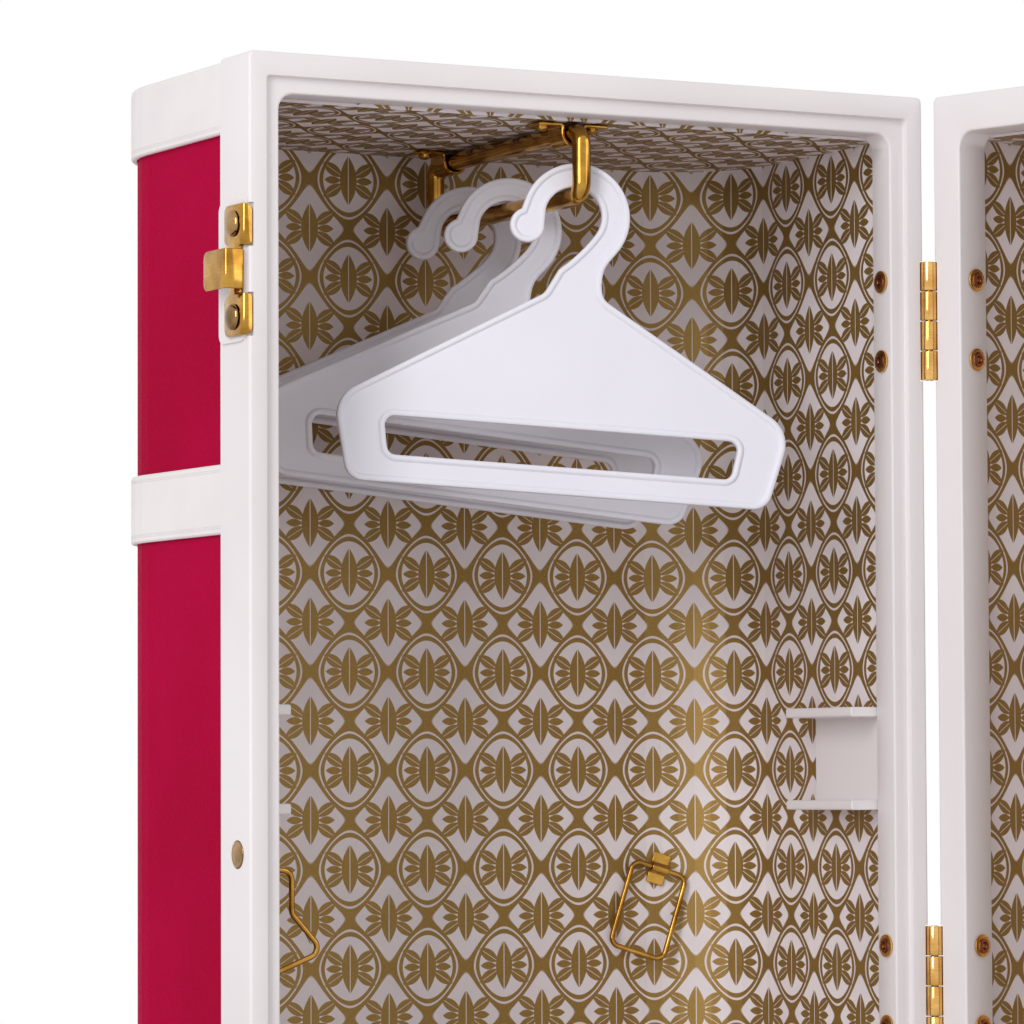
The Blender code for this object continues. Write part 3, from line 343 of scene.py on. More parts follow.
# %% Panel finish
def panel_finish(half):
    red = Finish(f"red_covering_{half}")
    here = red.place(half)
    slow = red.noise(here, 0.016, 3.0)
    pebble = red.cells(here, 1.15, "SMOOTH_F1")
    fine = red.noise(here, 2.6, 3.0)
    grain = pebble * 0.75 + fine * 0.4
    tone = red.mix(slow.ramp(0.3, 0.7), srgb(162, 1, 50), srgb(172, 4, 58))
    tone = red.mix(pebble.ramp(0.35, 0.75) * 0.12, tone, srgb(190, 24, 78))
    return red.done(Base_Color=tone, Roughness=0.48 + fine * 0.14 + slow * 0.06,
                    Normal=red.bump(grain, 0.10), Specular_IOR_Level=0.015)


# %% [markdown]
# ## White binding with its stitched line
#
# The strips that bind the edges are leatherette, much finer in grain than the panels, sewn near
# each edge. The thread is the strip's own colour and sunk a little, so the row shows as a dotted
# dent, and the channel round it is painted darker as painted shade. The distance to a row comes
# from the height alone, and the place along it from a walk round the case: across the back, round
# the corner, along the side.


# %% Walking round a case
def walk(x, y, half_width, back, radius):
    """Millimetres from the middle of the back, round the rear corner and along the side."""
    past = (abs(x) - (half_width - radius)).most(0.0)
    deep = (y - (back - radius)).most(0.0)
    along = abs(x).least(half_width - radius) + past.turn_to(deep) * radius
    return (along + ((back - radius) - y).most(0.0)) * x.math("SIGN", x)


# %% Binding finish
SEAM_IN, STITCH = 2.0, 2.2  # millimetres from a strip's edge to its seam, and from stitch to stitch


def binding_finish(half):
    cream = Finish(f"cream_binding_{half}")
    here = cream.place(half)
    x, y, z = cream.split(here)
    row = None
    for node in (n for n in nodes if n.startswith(f"band_{half}_")):
        low, high = (1000 * corner.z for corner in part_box(node))
        edges = [low + SEAM_IN, high - SEAM_IN]
        if node.endswith("_top"):
            edges = edges[:1]
        if node.endswith("_bottom"):
            edges = edges[1:]
        for edge in edges:
            line = abs(z - edge)
            row = line if row is None else row.least(line)
    stitches = walk(x, y, 1000 * BAND_X, 1000 * BAND_BACK, 1000 * BAND_R) / STITCH
    dash = (0.5 - abs(stitches.math("FRACT", stitches) - 0.5)).ramp(0.06, 0.2)
    thread = dash * row.ramp(0.16, 0.34, 1.0, 0.0)
    channel = row.ramp(0.15, 0.75, 1.0, 0.0)
    grain = cream.cells(here, 2.4, "SMOOTH_F1") * 0.6 + cream.noise(here, 5.0, 2.0) * 0.4
    slow = cream.noise(here, 0.03, 3.0)
    tone = cream.mix(slow.ramp(0.3, 0.7), srgb(228, 221, 223), srgb(233, 227, 228))
    # Painted shade: the channel round the stitches is painted darker, and the thread itself is left
    # bare.
    tone = cream.mix((channel - thread).most(0.0) * 0.30, tone, srgb(186, 172, 174))
    height = grain * 0.16 + (1 - channel) * 0.6 + thread * 0.5
    return cream.done(Base_Color=tone, Roughness=0.48 + grain * 0.14, Normal=cream.bump(height, 0.16),
                      Specular_IOR_Level=0.4)


# %% [markdown]
# ## Moulded plastic
#
# The frames round the mouths are injection moulded in a pale, slightly pink plastic with a satin
# face. Moulded faces are never quite flat: a faint ripple spreads the highlight, and handling
# leaves a soft cloud in the gloss. The hangers are a colder white.


# %% Plastic finishes
def moulded_finish(name, low, high, ripple=0.02, rough=0.36):
    plastic = Finish(name)
    here = plastic.place()
    slow = plastic.noise(here, 0.012, 2.0)
    peel = plastic.noise(here, 0.35, 2.0)
    spark = plastic.noise(here, 4.0, 2.0)
    tone = plastic.mix(slow.ramp(0.3, 0.7), low, high)
    tone = plastic.mix(spark.ramp(0.62, 0.75) * 0.25, tone, srgb(206, 196, 196))
    return plastic.done(Base_Color=tone, Roughness=rough + spark * 0.10 + slow * 0.05,
                        Normal=plastic.bump(peel * 0.8 + spark * 0.2, ripple),
                        Specular_IOR_Level=0.45)


frame_plastic = moulded_finish("moulded_frame", srgb(226, 219, 221), srgb(232, 226, 228))
hanger_plastic = moulded_finish("moulded_hanger", srgb(224, 222, 232), srgb(231, 229, 238), 0.012, 0.4)
glide_plastic = moulded_finish("glide_plastic", srgb(214, 208, 208), srgb(222, 217, 217), 0.03, 0.45)
print("plastics ready")

# %% [markdown]
# ## Printed lining
#
# The lining is off-white paper with a gold print, on a generic pattern: a trellis of curved bands,
# and in each cell a sprig of five leaves. Two slow waves added together cross zero along the
# bands, and folding the plane at the middle of each cell lets one drawn leaf stand for four. The
# print runs on round the rear corners, so its first coordinate is the walk round the room. Gold
# ink is metallic, so it is dark where it has nothing bright to mirror.


# %% Lining finish
def lining_finish(half):
    paper = Finish(f"printed_lining_{half}")
    here = paper.place(half)
    x, y, z = paper.split(here)
    along = walk(x, y, 1000 * ROOM_X, 1000 * ROOM_Y, 1000 * ROOM_R)
    level = abs(paper.split(paper.node("TexCoord", out=1))[2]) > 0.6
    u = along * (1 - level) + x * level
    v = z * (1 - level) + y * level
    cell_w, cell_h = 28.2, 32.0
    wave_u = (u * (2 * math.pi / cell_w)).cosine()
    wave_v = (v * (2 * math.pi / cell_h)).cosine()
    band = abs(wave_u + wave_v + 0.34 * wave_u * wave_v)
    edge = band.ramp(0.37, 0.43, 1.0, 0.0) - band.ramp(0.05, 0.09, 0.9, 0.0)
    fold_u = u.math("PINGPONG", u, cell_w / 2)
    fold_v = v.math("PINGPONG", v, cell_h / 2)
    sprigs = None
    for du, dv in ((fold_u, fold_v), (cell_w / 2 - fold_u, cell_h / 2 - fold_v)):
        stem = (3.2 - (dv * dv) * 0.046 - du).ramp(0.0, 0.3)
        stem = stem - (0.22 - du).ramp(0.0, 0.16)
        for lean, reach, length in ((0.55, 6.6, 4.5), (-0.10, 6.0, 3.7)):
            p = du * math.cos(lean) + dv * math.sin(lean)
            q = dv * math.cos(lean) - du * math.sin(lean)
            leaf = 2.0 - ((p - reach) / length) ** 2 * 2.0 - abs(q)
            stem = stem.most(leaf.ramp(0.0, 0.3) - (0.16 - abs(q)).ramp(0.0, 0.14))
        sprigs = stem if sprigs is None else sprigs.most(stem)
    fibre = paper.noise(here, 1.6, 3.0)
    patchy = paper.noise(here, 5.0, 2.0)
    slow = paper.noise(here, 0.02, 3.0)
    ink = edge.most(sprigs).most(0.0) * patchy.ramp(0.18, 0.36, 0.72, 1.0)
    base = paper.mix(slow.ramp(0.3, 0.7), srgb(226, 216, 220), srgb(235, 226, 229))
    gold = paper.mix(patchy.ramp(0.3, 0.75), srgb(136, 106, 52), srgb(166, 134, 74))
    tone = paper.mix(ink, base, gold)
    return paper.done(Base_Color=tone, Metallic=ink * 0.6, Roughness=0.55 - ink * 0.12 + fibre * 0.12,
                      Normal=paper.bump(fibre * 0.5 + ink * 0.25, 0.03), Specular_IOR_Level=0.35)


# %% [markdown]
# ## Brass
#
# A mirror-clean metal looks false at this size: real fittings carry fine drawn scratches along
# their length and a soft cloudiness where fingers have been. The turned-over rivets show bare
# copper, so their finish takes the distance from the rivet's axis; the same distance paints
# shade in each rivet's hollow and a highlight in its middle.


# %% Brass finish
def brass_finish(name, stretch=(0.15, 0.15, 1.6), eyes=None, low=(142, 98, 34), high=(208, 160, 76)):
    """Brass between two tones; eyes names the half whose hinge rivets it also colours, with painted
    shade in their hollows and a painted highlight in their middles.
    """
    brass = Finish(name)
    here = brass.place("right" if eyes == "right" else "left")
    drawn = brass.noise(here, 2.2, 3.0, stretch=stretch)
    cloud = brass.noise(here, 0.12, 3.0)
    pits = brass.noise(here, 3.0, 2.0)
    tone = brass.mix(cloud.ramp(0.2, 0.8), srgb(*low), srgb(*high))
    tone = brass.mix(drawn.ramp(0.42, 0.66) * 0.16, tone, srgb(112, 74, 26))
    tone = brass.mix(pits.ramp(0.66, 0.78) * 0.3, tone, srgb(96, 62, 26))
    rough = 0.07 + cloud * 0.06 + drawn * 0.05
    if eyes:
        x, y, z = brass.split(here)
        nearest = None
        for centre in HINGE_Z:
            for k in (-0.5, 0.5):
                dy, dz = y - 1000 * RIVET_BACK, z - 1000 * (centre + k * RIVET_STEP)
                reach = (dy * dy + dz * dz) ** 0.5
                nearest = reach if nearest is None else nearest.least(reach)
        copper = nearest.ramp(2.35, 2.7, 1.0, 0.0)
        tone = brass.mix(copper, tone, srgb(158, 98, 70))
        # Painted shade: the hollow of each rivet is painted dark.
        tone = brass.mix(nearest.ramp(1.1, 1.5, 1.0, 0.0), tone, srgb(104, 58, 40))
        # Painted highlight: a lighter dot in the middle of each rivet.
        tone = brass.mix(nearest.ramp(0.4, 0.8, 1.0, 0.0), tone, srgb(176, 124, 66))
        rough = rough + copper * 0.10
    return brass.done(Base_Color=tone, Metallic=1.0, Roughness=rough,
                      Normal=brass.bump(drawn * 0.6 + pits * 0.4, 0.008))


# %% Grip finish
def grip_finish():
    grip = Finish("wrapped_grip")
    here = grip.place("right")
    grain = grip.cells(here, 1.8, "SMOOTH_F1") * 0.7 + grip.noise(here, 4.0, 2.0) * 0.3
    slow = grip.noise(here, 0.05, 3.0)
    tone = grip.mix(slow.ramp(0.3, 0.7), srgb(218, 208, 209), srgb(228, 220, 221))
    return grip.done(Base_Color=tone, Roughness=0.48 + grain * 0.15, Normal=grip.bump(grain, 0.06))


# %% [markdown]
# ## Who gets which finish
#
# Every piece of the frame keeps its place and takes a finish by its name. The two halves have
# their own copies of the finishes whose pattern follows the case.

# %% Give every piece its finish
store = {"frame": frame_plastic, "hanger": hanger_plastic, "glide": glide_plastic,
         "brass": brass_finish("polished_brass"), "rail": brass_finish("drawn_rail", (1.5, 0.15, 1.5)),
         "dull": brass_finish("dulled_brass", low=(98, 74, 44), high=(180, 144, 96)),
         "grip": grip_finish()}
for half in LAYOUT:
    store[f"panel_{half}"] = panel_finish(half)
    store[f"lining_{half}"] = lining_finish(half)
    store[f"band_{half}"] = binding_finish(half)
    # Painted light: the hinge leaves take a lighter copy of the brass, which stands for the light
    # their barrels catch.
    store[f"leaf_{half}"] = brass_finish(f"hinge_brass_{half}", eyes=half, low=(204, 146, 70),
                                          high=(244, 198, 122))
GROUPS = (("shell_", "panel_{}"), ("lining_", "lining_{}"), ("band_", "band_{}"), ("frame_", "frame"),
          ("hanger_", "hanger"), ("guide_", "frame"), ("glide_", "glide"), ("clothes_rail", "rail"),
          ("carry_handle", "grip"))


def finish_of(name):
    """The finish of a node, by its name."""
    half = "right" if nodes[name]["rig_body"].startswith("right") else "left"
    if "_leaf_" in name:
        return f"leaf_{half}"
    if "_rivet_" in name:
        return "dull"
    return next((finish.format(half) for start, finish in GROUPS if name.startswith(start)), "brass")


for name in nodes:
    for slot in nodes[name].material_slots:
        slot.material = store[finish_of(name)]
print({finish: sum(finish_of(n) == finish for n in nodes) for finish in store})

# %% [markdown]
# ## Building pieces in mesh code
#
# The frame's pieces are faceted, which is right for measuring and too coarse to look at. Those
# whose roundness shows are built again here, in the same place and size. Four builders do most of
# the work: rounded() puts arcs in the corners of an outline, slab() makes an outline thick, turned()
# spins a profile about an axis, and tube() runs a round section along a path. settle() moves the
# result from a half's layout into the room, gives it its finish and lets it ride its body, and
# carve() cuts a seat out of it.


# %% Outlines
def mm(*points):
    """Points or corners given in millimetres, in metres."""
    return [tuple(c / 1000 for c in point) for point in points]


def arc(x, y, r, start, end, steps):
    """Points on an arc, in degrees."""
    turns = [math.radians(start + (end - start) * i / steps) for i in range(steps + 1)]
    return [(x + r * math.cos(t), y + r * math.sin(t)) for t in turns]


def rounded(corners, steps=8, closed=True):
    """An outline from (a, b, radius) corners, with an arc at each one that has a radius."""
    points = []
    last = len(corners) - 1
    for i, (a, b, r) in enumerate(corners):
        here = Vector((a, b))
        if not r or (not closed and i in (0, last)):
            points.append((a, b))
            continue
        back = (Vector(corners[i - 1][:2]) - here).normalized()
        ahead = (Vector(corners[(i + 1) % len(corners)][:2]) - here).normalized()
        half = back.angle(ahead) / 2
        middle = here + (back + ahead).normalized() * (r / math.sin(half))
        first, final = here + back * (r / math.tan(half)), here + ahead * (r / math.tan(half))
        start = math.atan2(*(first - middle).yx)
        sweep = (math.atan2(*(final - middle).yx) - start + math.pi) % math.tau - math.pi
        points += arc(*middle, r, math.degrees(start), math.degrees(start + sweep), steps)
    return points


PLANES = {"XZ": lambda a, b, c: (a, c, b), "YZ": lambda a, b, c: (c, a, b),
          "XY": lambda a, b, c: (a, b, c)}


# %% Solids
def slab(bm, outline, low, high, plane):
    """An outline in one plane, made thick across it."""
    spot = PLANES[plane]
    rings = [[bm.verts.new(spot(a, b, c)) for a, b in outline] for c in (low, high)]
    bm.faces.new(rings[0])
    bm.faces.new(rings[1][::-1])
    bridge(bm, rings)


def oblong(a0, a1, b0, b1, r=None):
    """The corners of an oblong, with a radius each where r is given."""
    corners = [(a0, b0), (a1, b0), (a1, b1), (a0, b1)]
    return corners if r is None else [(a, b, r) for a, b in corners]


def bridge(bm, rings, wrap=False):
    """Quads from each ring of points to the next one, and round again where wrap is true."""
    pairs = list(zip(rings, rings[1:] + rings[:1])) if wrap else list(zip(rings, rings[1:]))
    for one, two in pairs:
        for i in range(len(one)):
            j = (i + 1) % len(one)
            bm.faces.new((one[i], one[j], two[j], two[i]))


def turned(bm, profile, place, axis, sides=32):
    """A solid of revolution. The profile holds (radius, height) from one end to the other."""
    place, axis = Vector(place), Vector(axis).normalized()
    one = axis.orthogonal().normalized()
    two = axis.cross(one)
    turns = [math.tau * i / sides for i in range(sides)]
    rings = []
    for r, h in profile:
        if r:
            rings.append([bm.verts.new(place + axis * h + one * (r * math.cos(t))
                                       + two * (r * math.sin(t))) for t in turns])
        else:
            rings.append([bm.verts.new(place + axis * h)] * sides)
    for one, two in zip(rings, rings[1:]):
        for i in range(sides):
            j = (i + 1) % sides
            corners = dict.fromkeys((one[i], one[j], two[j], two[i]))
            if len(corners) > 2:
                bm.faces.new(corners)


def tube(bm, path, r, across, sides=20, closed=True):
    """A round section along a flat path; across is the direction square to the path's plane."""
    path, across = [Vector(p) for p in path], Vector(across).normalized()
    turns = [math.tau * k / sides for k in range(sides)]
    rings = []
    for i, point in enumerate(path):
        before = path[i - 1] if closed or i else point
        after = path[(i + 1) % len(path)] if closed or i < len(path) - 1 else point
        side = (after - before).cross(across).normalized()
        rings.append([bm.verts.new(point + side * (r * math.cos(t)) + across * (r * math.sin(t)))
                      for t in turns])
    bridge(bm, rings, closed)
    if not closed:
        bm.faces.new(rings[0])
        bm.faces.new(rings[-1])


def shade(mesh, angle):
    """Smooth shading, but for the edges that turn by more than angle degrees."""
    mesh.polygons.foreach_set("use_smooth", [True] * len(mesh.polygons))
    mesh.set_sharp_from_angle(angle=math.radians(angle))


def soften(piece, name, width, angle):
    """Eases the edges that turn by more than angle degrees."""
    ease = piece.modifiers.new(name, "BEVEL")
    ease.width = width
    ease.segments = 2
    ease.limit_method = "ANGLE"
    ease.angle_limit = math.radians(angle)
    ease.use_clamp_overlap = False


def settle(name, bm, node, finish="brass", body="left_case", matrix=LEFT, edge=0.0, smooth=38):
    """Makes the mesh a piece of the trunk that stands for a node, its sharp edges eased by edge."""
    bmesh.ops.recalc_face_normals(bm, faces=bm.faces)
    bm.transform(matrix)
    piece = add_object(name, bm)
    shade(piece.data, smooth)
    piece.data.materials.append(store[finish])
    if edge:
        soften(piece, "eased edges", edge, 40)
    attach(piece, body)
    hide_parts(node)
    return piece


def carve(piece, bm, how):
    """Cuts a solid from a piece or joins it on, once and for all."""
    bmesh.ops.recalc_face_normals(bm, faces=bm.faces)
    tool = add_object("carving tool", bm)
    step = piece.modifiers.new("carving", "BOOLEAN")
    step.object, step.operation, step.solver = tool, how, "EXACT"
    bpy.context.view_layer.update()
    carved = piece.evaluated_get(bpy.context.evaluated_depsgraph_get())
    mesh = bpy.data.meshes.new_from_object(carved)
    piece.modifiers.remove(step)
    piece.data = mesh
    bpy.data.objects.remove(tool)


print("corner of a 4 mm arc:", rounded([(0, 0, 0), (10, 0, 4), (10, 10, 0)], 2))

# %% [markdown]
# ## Frames round the mouths
#
# Each frame is one moulding: a broad flange on the outside, a face plate, and a return that runs
# back into the case. Its section is the same all the way round, so we list the section's points
# once, as steps in from the side and from the end, and loft a rounded rectangle through each. A
# point has its own corner radius, so the outside is nearly square and the mouth is softly round.
# The seats of the hinges and the raised pads of the keepers are then cut and added by Booleans.


# %% Frame sections
# Each point of the section: in from the side, in from the end, corner radius and place behind the
# front plane, in millimetres.
RIM = [(0.0, 0.0, 1.8, 20.4), (0.0, 0.0, 1.8, 0.9), (0.07, 0.07, 1.75, 0.56), (0.26, 0.26, 1.65, 0.26),
       (0.56, 0.56, 1.5, 0.07), (0.9, 0.9, 1.3, 0.0)]
STEP = [(5.6, 6.9, 1.4, 0.0), (5.8, 7.1, 1.3, 0.08), (5.9, 7.2, 1.2, 0.28), (5.9, 7.2, 1.2, 1.95),
        (6.05, 7.35, 1.1, 2.2)]
MOUTH_FACE = {"left": 2.2, "right": 0.0}
INSIDE = [(10.9, 12.1, 5.2, 12.5), (10.7, 11.9, 5.2, 12.8), (6.2, 10.2, 5.2, 12.8),
          (6.0, 10.0, 5.2, 12.6), (6.0, 10.0, 5.2, 4.2), (2.9, 2.9, 0.8, 4.2), (2.9, 2.9, 0.8, 20.2),
          (2.7, 2.7, 0.9, 20.4)]


def frame_ring(half):
    """The whole moulding, before its seats are cut."""
    face = MOUTH_FACE[half]
    lip = [(10.2, 11.4, 4.6, face), (10.55, 11.75, 4.9, face + 0.1), (10.8, 12.0, 5.1, face + 0.35),
           (10.9, 12.1, 5.2, face + 0.7)]
    section = RIM + (STEP if half == "left" else []) + lip + INSIDE
    bm = bmesh.new()
    rings = []
    for side, end, r, deep in mm(*section):
        corners = oblong(side - HALF_W, HALF_W - side, end, CASE_H - end, r)
        rings.append([bm.verts.new((a, deep, b)) for a, b in rounded(corners, 8)])
    bridge(bm, rings, wrap=True)
    return bm


# %% Seats and pads
PAST = 0.004  # how far a tool stands out of what it cuts
SEAT_HALF = HINGE_LONG / 2 + GAP
SEAT_DEEP, SEAT_BACK = 0.0011, 0.0163  # of a hinge's leaf, in the flange
BARREL_SEAT_R = 0.0032
PAD_HALF, PAD_FRONT, PAD_BACK, PAD_R, PAD_UP = 0.02125, 0.0021, 0.0199, 0.003, 0.0008
REACH, WAIST = 0.01965, 0.00715  # half a keeper's height, and half the room of its tongue
NOTCH_BACK, ROOT = 0.0016, 0.0015  # back of a wing's notch; how deep pads and notches start
SINK_R, SINK_FAR = 0.0043, 0.005  # the seat of the side rivet


def frame_piece(half):
    """The moulding of one half, with its seats cut and its pads added."""
    side = 1 if half == "left" else -1
    piece = settle(f"moulding_{half}", frame_ring(half), f"frame_{half}", "frame", f"{half}_case",
                   Matrix())
    seats, barrels = bmesh.new(), bmesh.new()
    x0, x1 = sorted((side * (HALF_W - SEAT_DEEP), side * (HALF_W + PAST)))
    for z in HINGE_Z:
        slab(seats, oblong(-PAST, SEAT_BACK, z - SEAT_HALF, z + SEAT_HALF), x0, x1, "YZ")
        turned(barrels, [(0, -SEAT_HALF), (BARREL_SEAT_R, -SEAT_HALF), (BARREL_SEAT_R, SEAT_HALF),
                         (0, SEAT_HALF)], (side * (HALF_W + PIN_OUT), -PIN_FORE, z), (0, 0, 1), 48)
    carve(piece, seats, "DIFFERENCE")
    carve(piece, barrels, "DIFFERENCE")
    if half == "left":
        pads, notches, sink = bmesh.new(), bmesh.new(), bmesh.new()
        for z in FITTING_Z.values():
            pad = rounded(oblong(PAD_FRONT, PAD_BACK, z - PAD_HALF, z + PAD_HALF, PAD_R), 6)
            slab(pads, pad, -HALF_W - PAD_UP, -HALF_W + ROOT, "YZ")
            for low, high in ((z - REACH, z - WAIST), (z + WAIST, z + REACH)):
                slab(notches, oblong(-PAST, NOTCH_BACK, low - GAP, high + GAP), -HALF_W - PAST,
                     -HALF_W + ROOT, "YZ")
        turned(sink, [(0, 0.0), (SINK_R, 0.0), (SINK_R, SINK_FAR), (0, SINK_FAR)],
               (-HALF_W + ROOT, SIDE_RIVET_Y, SIDE_RIVET_Z), (-1, 0, 0), 40)
        carve(piece, pads, "UNION")
        carve(piece, notches, "DIFFERENCE")
        carve(piece, sink, "DIFFERENCE")
    piece.data.transform(LAYOUT[half])
    shade(piece.data, 38)
    return piece


for half in LAYOUT:
    print(f"moulding_{half}:", len(frame_piece(half).data.polygons), "faces")

# %% [markdown]
# ## Hanging rail and its saddles
#
# The rail is one brass rod bent to a long loop: its upper bar lies in two saddles and its lower bar
# carries the hangers. The saddles are stamped straps, so their outline is drawn from the front and
# made thick along the rail.

# %% Rail
ROD_R, ROD_BEND = 0.0029, 0.0042
RAIL_TOP = CASE_H - 0.0165
RAIL_LOW = RAIL_TOP - 0.0201
RAIL_FRONT, RAIL_BACK = 0.0105, 0.1090
loop = rounded(oblong(RAIL_FRONT, RAIL_BACK, RAIL_TOP, RAIL_LOW, ROD_BEND), 12)
bm = bmesh.new()
tube(bm, [(0, y, z) for y, z in loop], ROD_R, (1, 0, 0), 40)
settle("rail_rod", bm, "clothes_rail", "rail", "rail", smooth=60)


# %% Straps
def strap(bar, drop, thick, wing):
    """A strap bent round a bar, with two wings against a surface above it, seen along the bar."""
    r, level = bar + GAP + thick / 2, -GAP - thick / 2
    side = rounded([(-wing, level, 0), (-r, level, thick * 0.8), (-r, -drop, 0)], 6, closed=False)
    line = [Vector(point) for point in side[:-1] + arc(0, -drop, r, 180, 270, 10)]
    line += [Vector((-point.x, point.y)) for point in line[-2::-1]]
    one, two = [], []
    for i, point in enumerate(line):
        along = (line[min(i + 1, len(line) - 1)] - line[max(i - 1, 0)]).normalized()
        square = Vector((along.y, -along.x)) * (thick / 2)
        one.append(tuple(point + square))
        two.append(tuple(point - square))
    return one + two[::-1]


# %% Saddles and their screws
SADDLE_IN, SADDLE_HALF, SADDLE_T, SADDLE_WING = 0.0094, 0.00475, 0.0011, 0.0122
SCREW_X = 0.0087
CUT_LONG, CUT_WIDE = 0.003, 0.00028  # half the sizes of a screw's driving slot
dome = [(2.1 * math.cos(t), 1.1 * math.sin(t)) for t in [math.pi / 2 * i / 8 for i in range(8)]]
screw_profile = mm((0, -0.3), (2.2, -0.3), (2.2, 0), *dome, (0, 1.1))
for tag, y in (("front", RAIL_FRONT + SADDLE_IN), ("back", RAIL_BACK - SADDLE_IN)):
    bm = bmesh.new()
    outline = [(x, CEILING + z) for x, z in strap(ROD_R, CEILING - RAIL_TOP, SADDLE_T, SADDLE_WING)]
    slab(bm, outline, y - SADDLE_HALF, y + SADDLE_HALF, "XZ")
    settle(f"saddle_{tag}", bm, f"rail_saddle_{tag}", edge=0.00035)
    for x, which in ((-SCREW_X, "a"), (SCREW_X, "b")):
        bm, cut = bmesh.new(), bmesh.new()
        turned(bm, screw_profile, (x, y, CEILING - 0.0017), (0, 0, -1), 28)
        screw = settle(f"screw_{tag}_{which}", bm, f"saddle_{tag}_screw_{which}", matrix=Matrix())
        slab(cut, oblong(x - CUT_LONG, x + CUT_LONG, y - CUT_WIDE, y + CUT_WIDE),
             CEILING - 0.0035, CEILING - 0.0022, "XY")
        carve(screw, cut, "DIFFERENCE")
        screw.data.transform(LEFT)
print("rail path of", len(loop), "points")

# %% [markdown]
# ## Hangers
#
# A hanger is one flat moulding: a hook that ends in a round knob, sloping shoulders, and a long
# slot. A raised rim follows every edge of both faces. We draw the outline and the slot, fill
# between them, and let the inset tool walk in from the edges in small steps, each with its own
# height, so that the rim gets a rounded back and a soft foot. The other face is a mirror.


# %% Hanger outline
HOLE_R, HOLE_LEFT, HOLE_UP = 0.0090, 0.0009, 0.0003  # the hole in the hook, off the hook's middle


def bezier(p0, p1, p2, p3, steps):
    """Points inside a cubic curve, without its ends."""
    found = []
    for t in (i / steps for i in range(1, steps)):
        s = 1 - t
        found.append(tuple(s ** 3 * a + 3 * s * s * t * b + 3 * s * t * t * c + t ** 3 * d
                           for a, b, c, d in zip(p0, p1, p2, p3)))
    return found


def hanger_outline():
    """Seen from the front; the middle of the hook is the origin and the hook opens to the left."""
    ring = arc(0, 0, 0.0169, -38, 166, 44)
    knob = arc(-0.0152, -0.0035, 0.00535, 112, 368, 24)
    inside = arc(-HOLE_LEFT, HOLE_UP, HOLE_R, 168, -30, 34)
    neck, knee, pull = (0.0093, -0.0204), (-0.0043, -0.0165), 0.0050
    (x0, z0), (x1, z1) = ring[0], inside[-1]
    rise = bezier(neck, (neck[0], neck[1] + pull), (x0 - 0.62 * pull, z0 - 0.79 * pull), (x0, z0), 8)
    fall = bezier((x1, z1), (x1 - 0.5 * pull, z1 - 0.87 * pull),
                  (knee[0] + 0.64 * pull, knee[1] + 0.48 * pull), knee, 8)
    body = mm((-8.4, -24.3, 5), (-72, -61.5, 10), (-66, -86.6, 6), (66, -86.6, 6), (72, -61.5, 10),
              (9.9, -24.9, 5))
    shoulders = rounded([(*fall[-1], 0), (*knee, 0.003), *body, (*neck, 0)], 9)[1:]
    return rise + ring + knob + inside + fall + shoulders


SLOT = rounded(mm((-56, -65.9, 3), (-54, -78, 3), (54, -78, 3), (56, -65.9, 3)), 9)
HANGER_HALF, RIM_UP = 0.0016, 0.0005  # half the thickness at the rim, and the rim's rise
# Each step of the rim: how far in, and how far up.
RIM_WALK = mm((0.14, 0.26), (0.24, 0.16), (0.34, 0.07), (0.34, 0.01), (0.28, -0.05), (0.24, -0.15),
              (0.22, -0.26), (0.20, -0.24), (0.16, -0.10), (0.10, 0))


# %% Hangers
def hanger(number, x, y, turn, tilt):
    """A hanger at x and y on the lower bar, turned and tilted by degrees."""
    bm = bmesh.new()
    for line in (hanger_outline(), SLOT):
        points = [bm.verts.new((a, RIM_UP - HANGER_HALF, b)) for a, b in line]
        for i, point in enumerate(points):
            bm.edges.new((point, points[(i + 1) % len(points)]))
    bmesh.ops.triangle_fill(bm, use_beauty=True, use_dissolve=False, edges=bm.edges, normal=(0, -1, 0))
    rim = [edge for edge in bm.edges if edge.is_boundary]
    wall = bmesh.ops.extrude_edge_only(bm, edges=rim)["geom"]
    for item in wall:
        if isinstance(item, bmesh.types.BMVert):
            item.co.y = 0.0
    front = [face for face in bm.faces if all(v.co.y < 0 for v in face.verts)]
    for wide, rise in RIM_WALK:
        bmesh.ops.inset_region(bm, faces=front, thickness=wide, use_even_offset=True,
                               use_boundary=True)
        front = [face for face in front if face.is_valid]
        for point in {v for face in front for v in face.verts}:
            point.co.y -= rise
    bmesh.ops.mirror(bm, geom=bm.verts[:] + bm.edges[:] + bm.faces[:], matrix=Matrix.Identity(4),
                     merge_dist=0.00001, axis="Y")
    lean = math.radians(tilt)
    across = x - HOLE_LEFT * math.cos(lean) + HOLE_UP * math.sin(lean)
    hang = (math.sqrt((HOLE_R - ROD_R - GAP) ** 2 - across ** 2) + HOLE_LEFT * math.sin(lean)
            + HOLE_UP * math.cos(lean))
    matrix = (LEFT @ Matrix.Translation((x, y, RAIL_LOW - hang))
              @ Matrix.Rotation(-math.radians(turn), 4, "Z") @ Matrix.Rotation(lean, 4, "Y"))
    name = f"hanger_{number}"
    return settle(name + "_moulded", bm, name, "hanger", name, matrix, smooth=32)


# How far along the lower bar, x off its middle, turn and tilt.
HANGERS = [(0.060, 0.0012, 20, 4), (0.490, 0.0003, 19, 7), (0.757, 0.0, 16, 7)]
for number, (share, x, turn, tilt) in enumerate(HANGERS, 1):
    piece = hanger(number, x, RAIL_FRONT + share * (RAIL_BACK - RAIL_FRONT), turn, tilt)
    print(piece.name, len(piece.data.polygons), "faces")

# %% [markdown]
# ## Butt hinges
#
# A butt hinge is two stamped leaves whose edges are rolled into knuckles round one pin. The leaves
# are held by hollow rivets: a domed head outside, and inside the case a washer over which the end
# of the rivet is turned, which leaves a low copper ring with a pit. Plate, knuckles and rivets
# make one piece for each leaf.

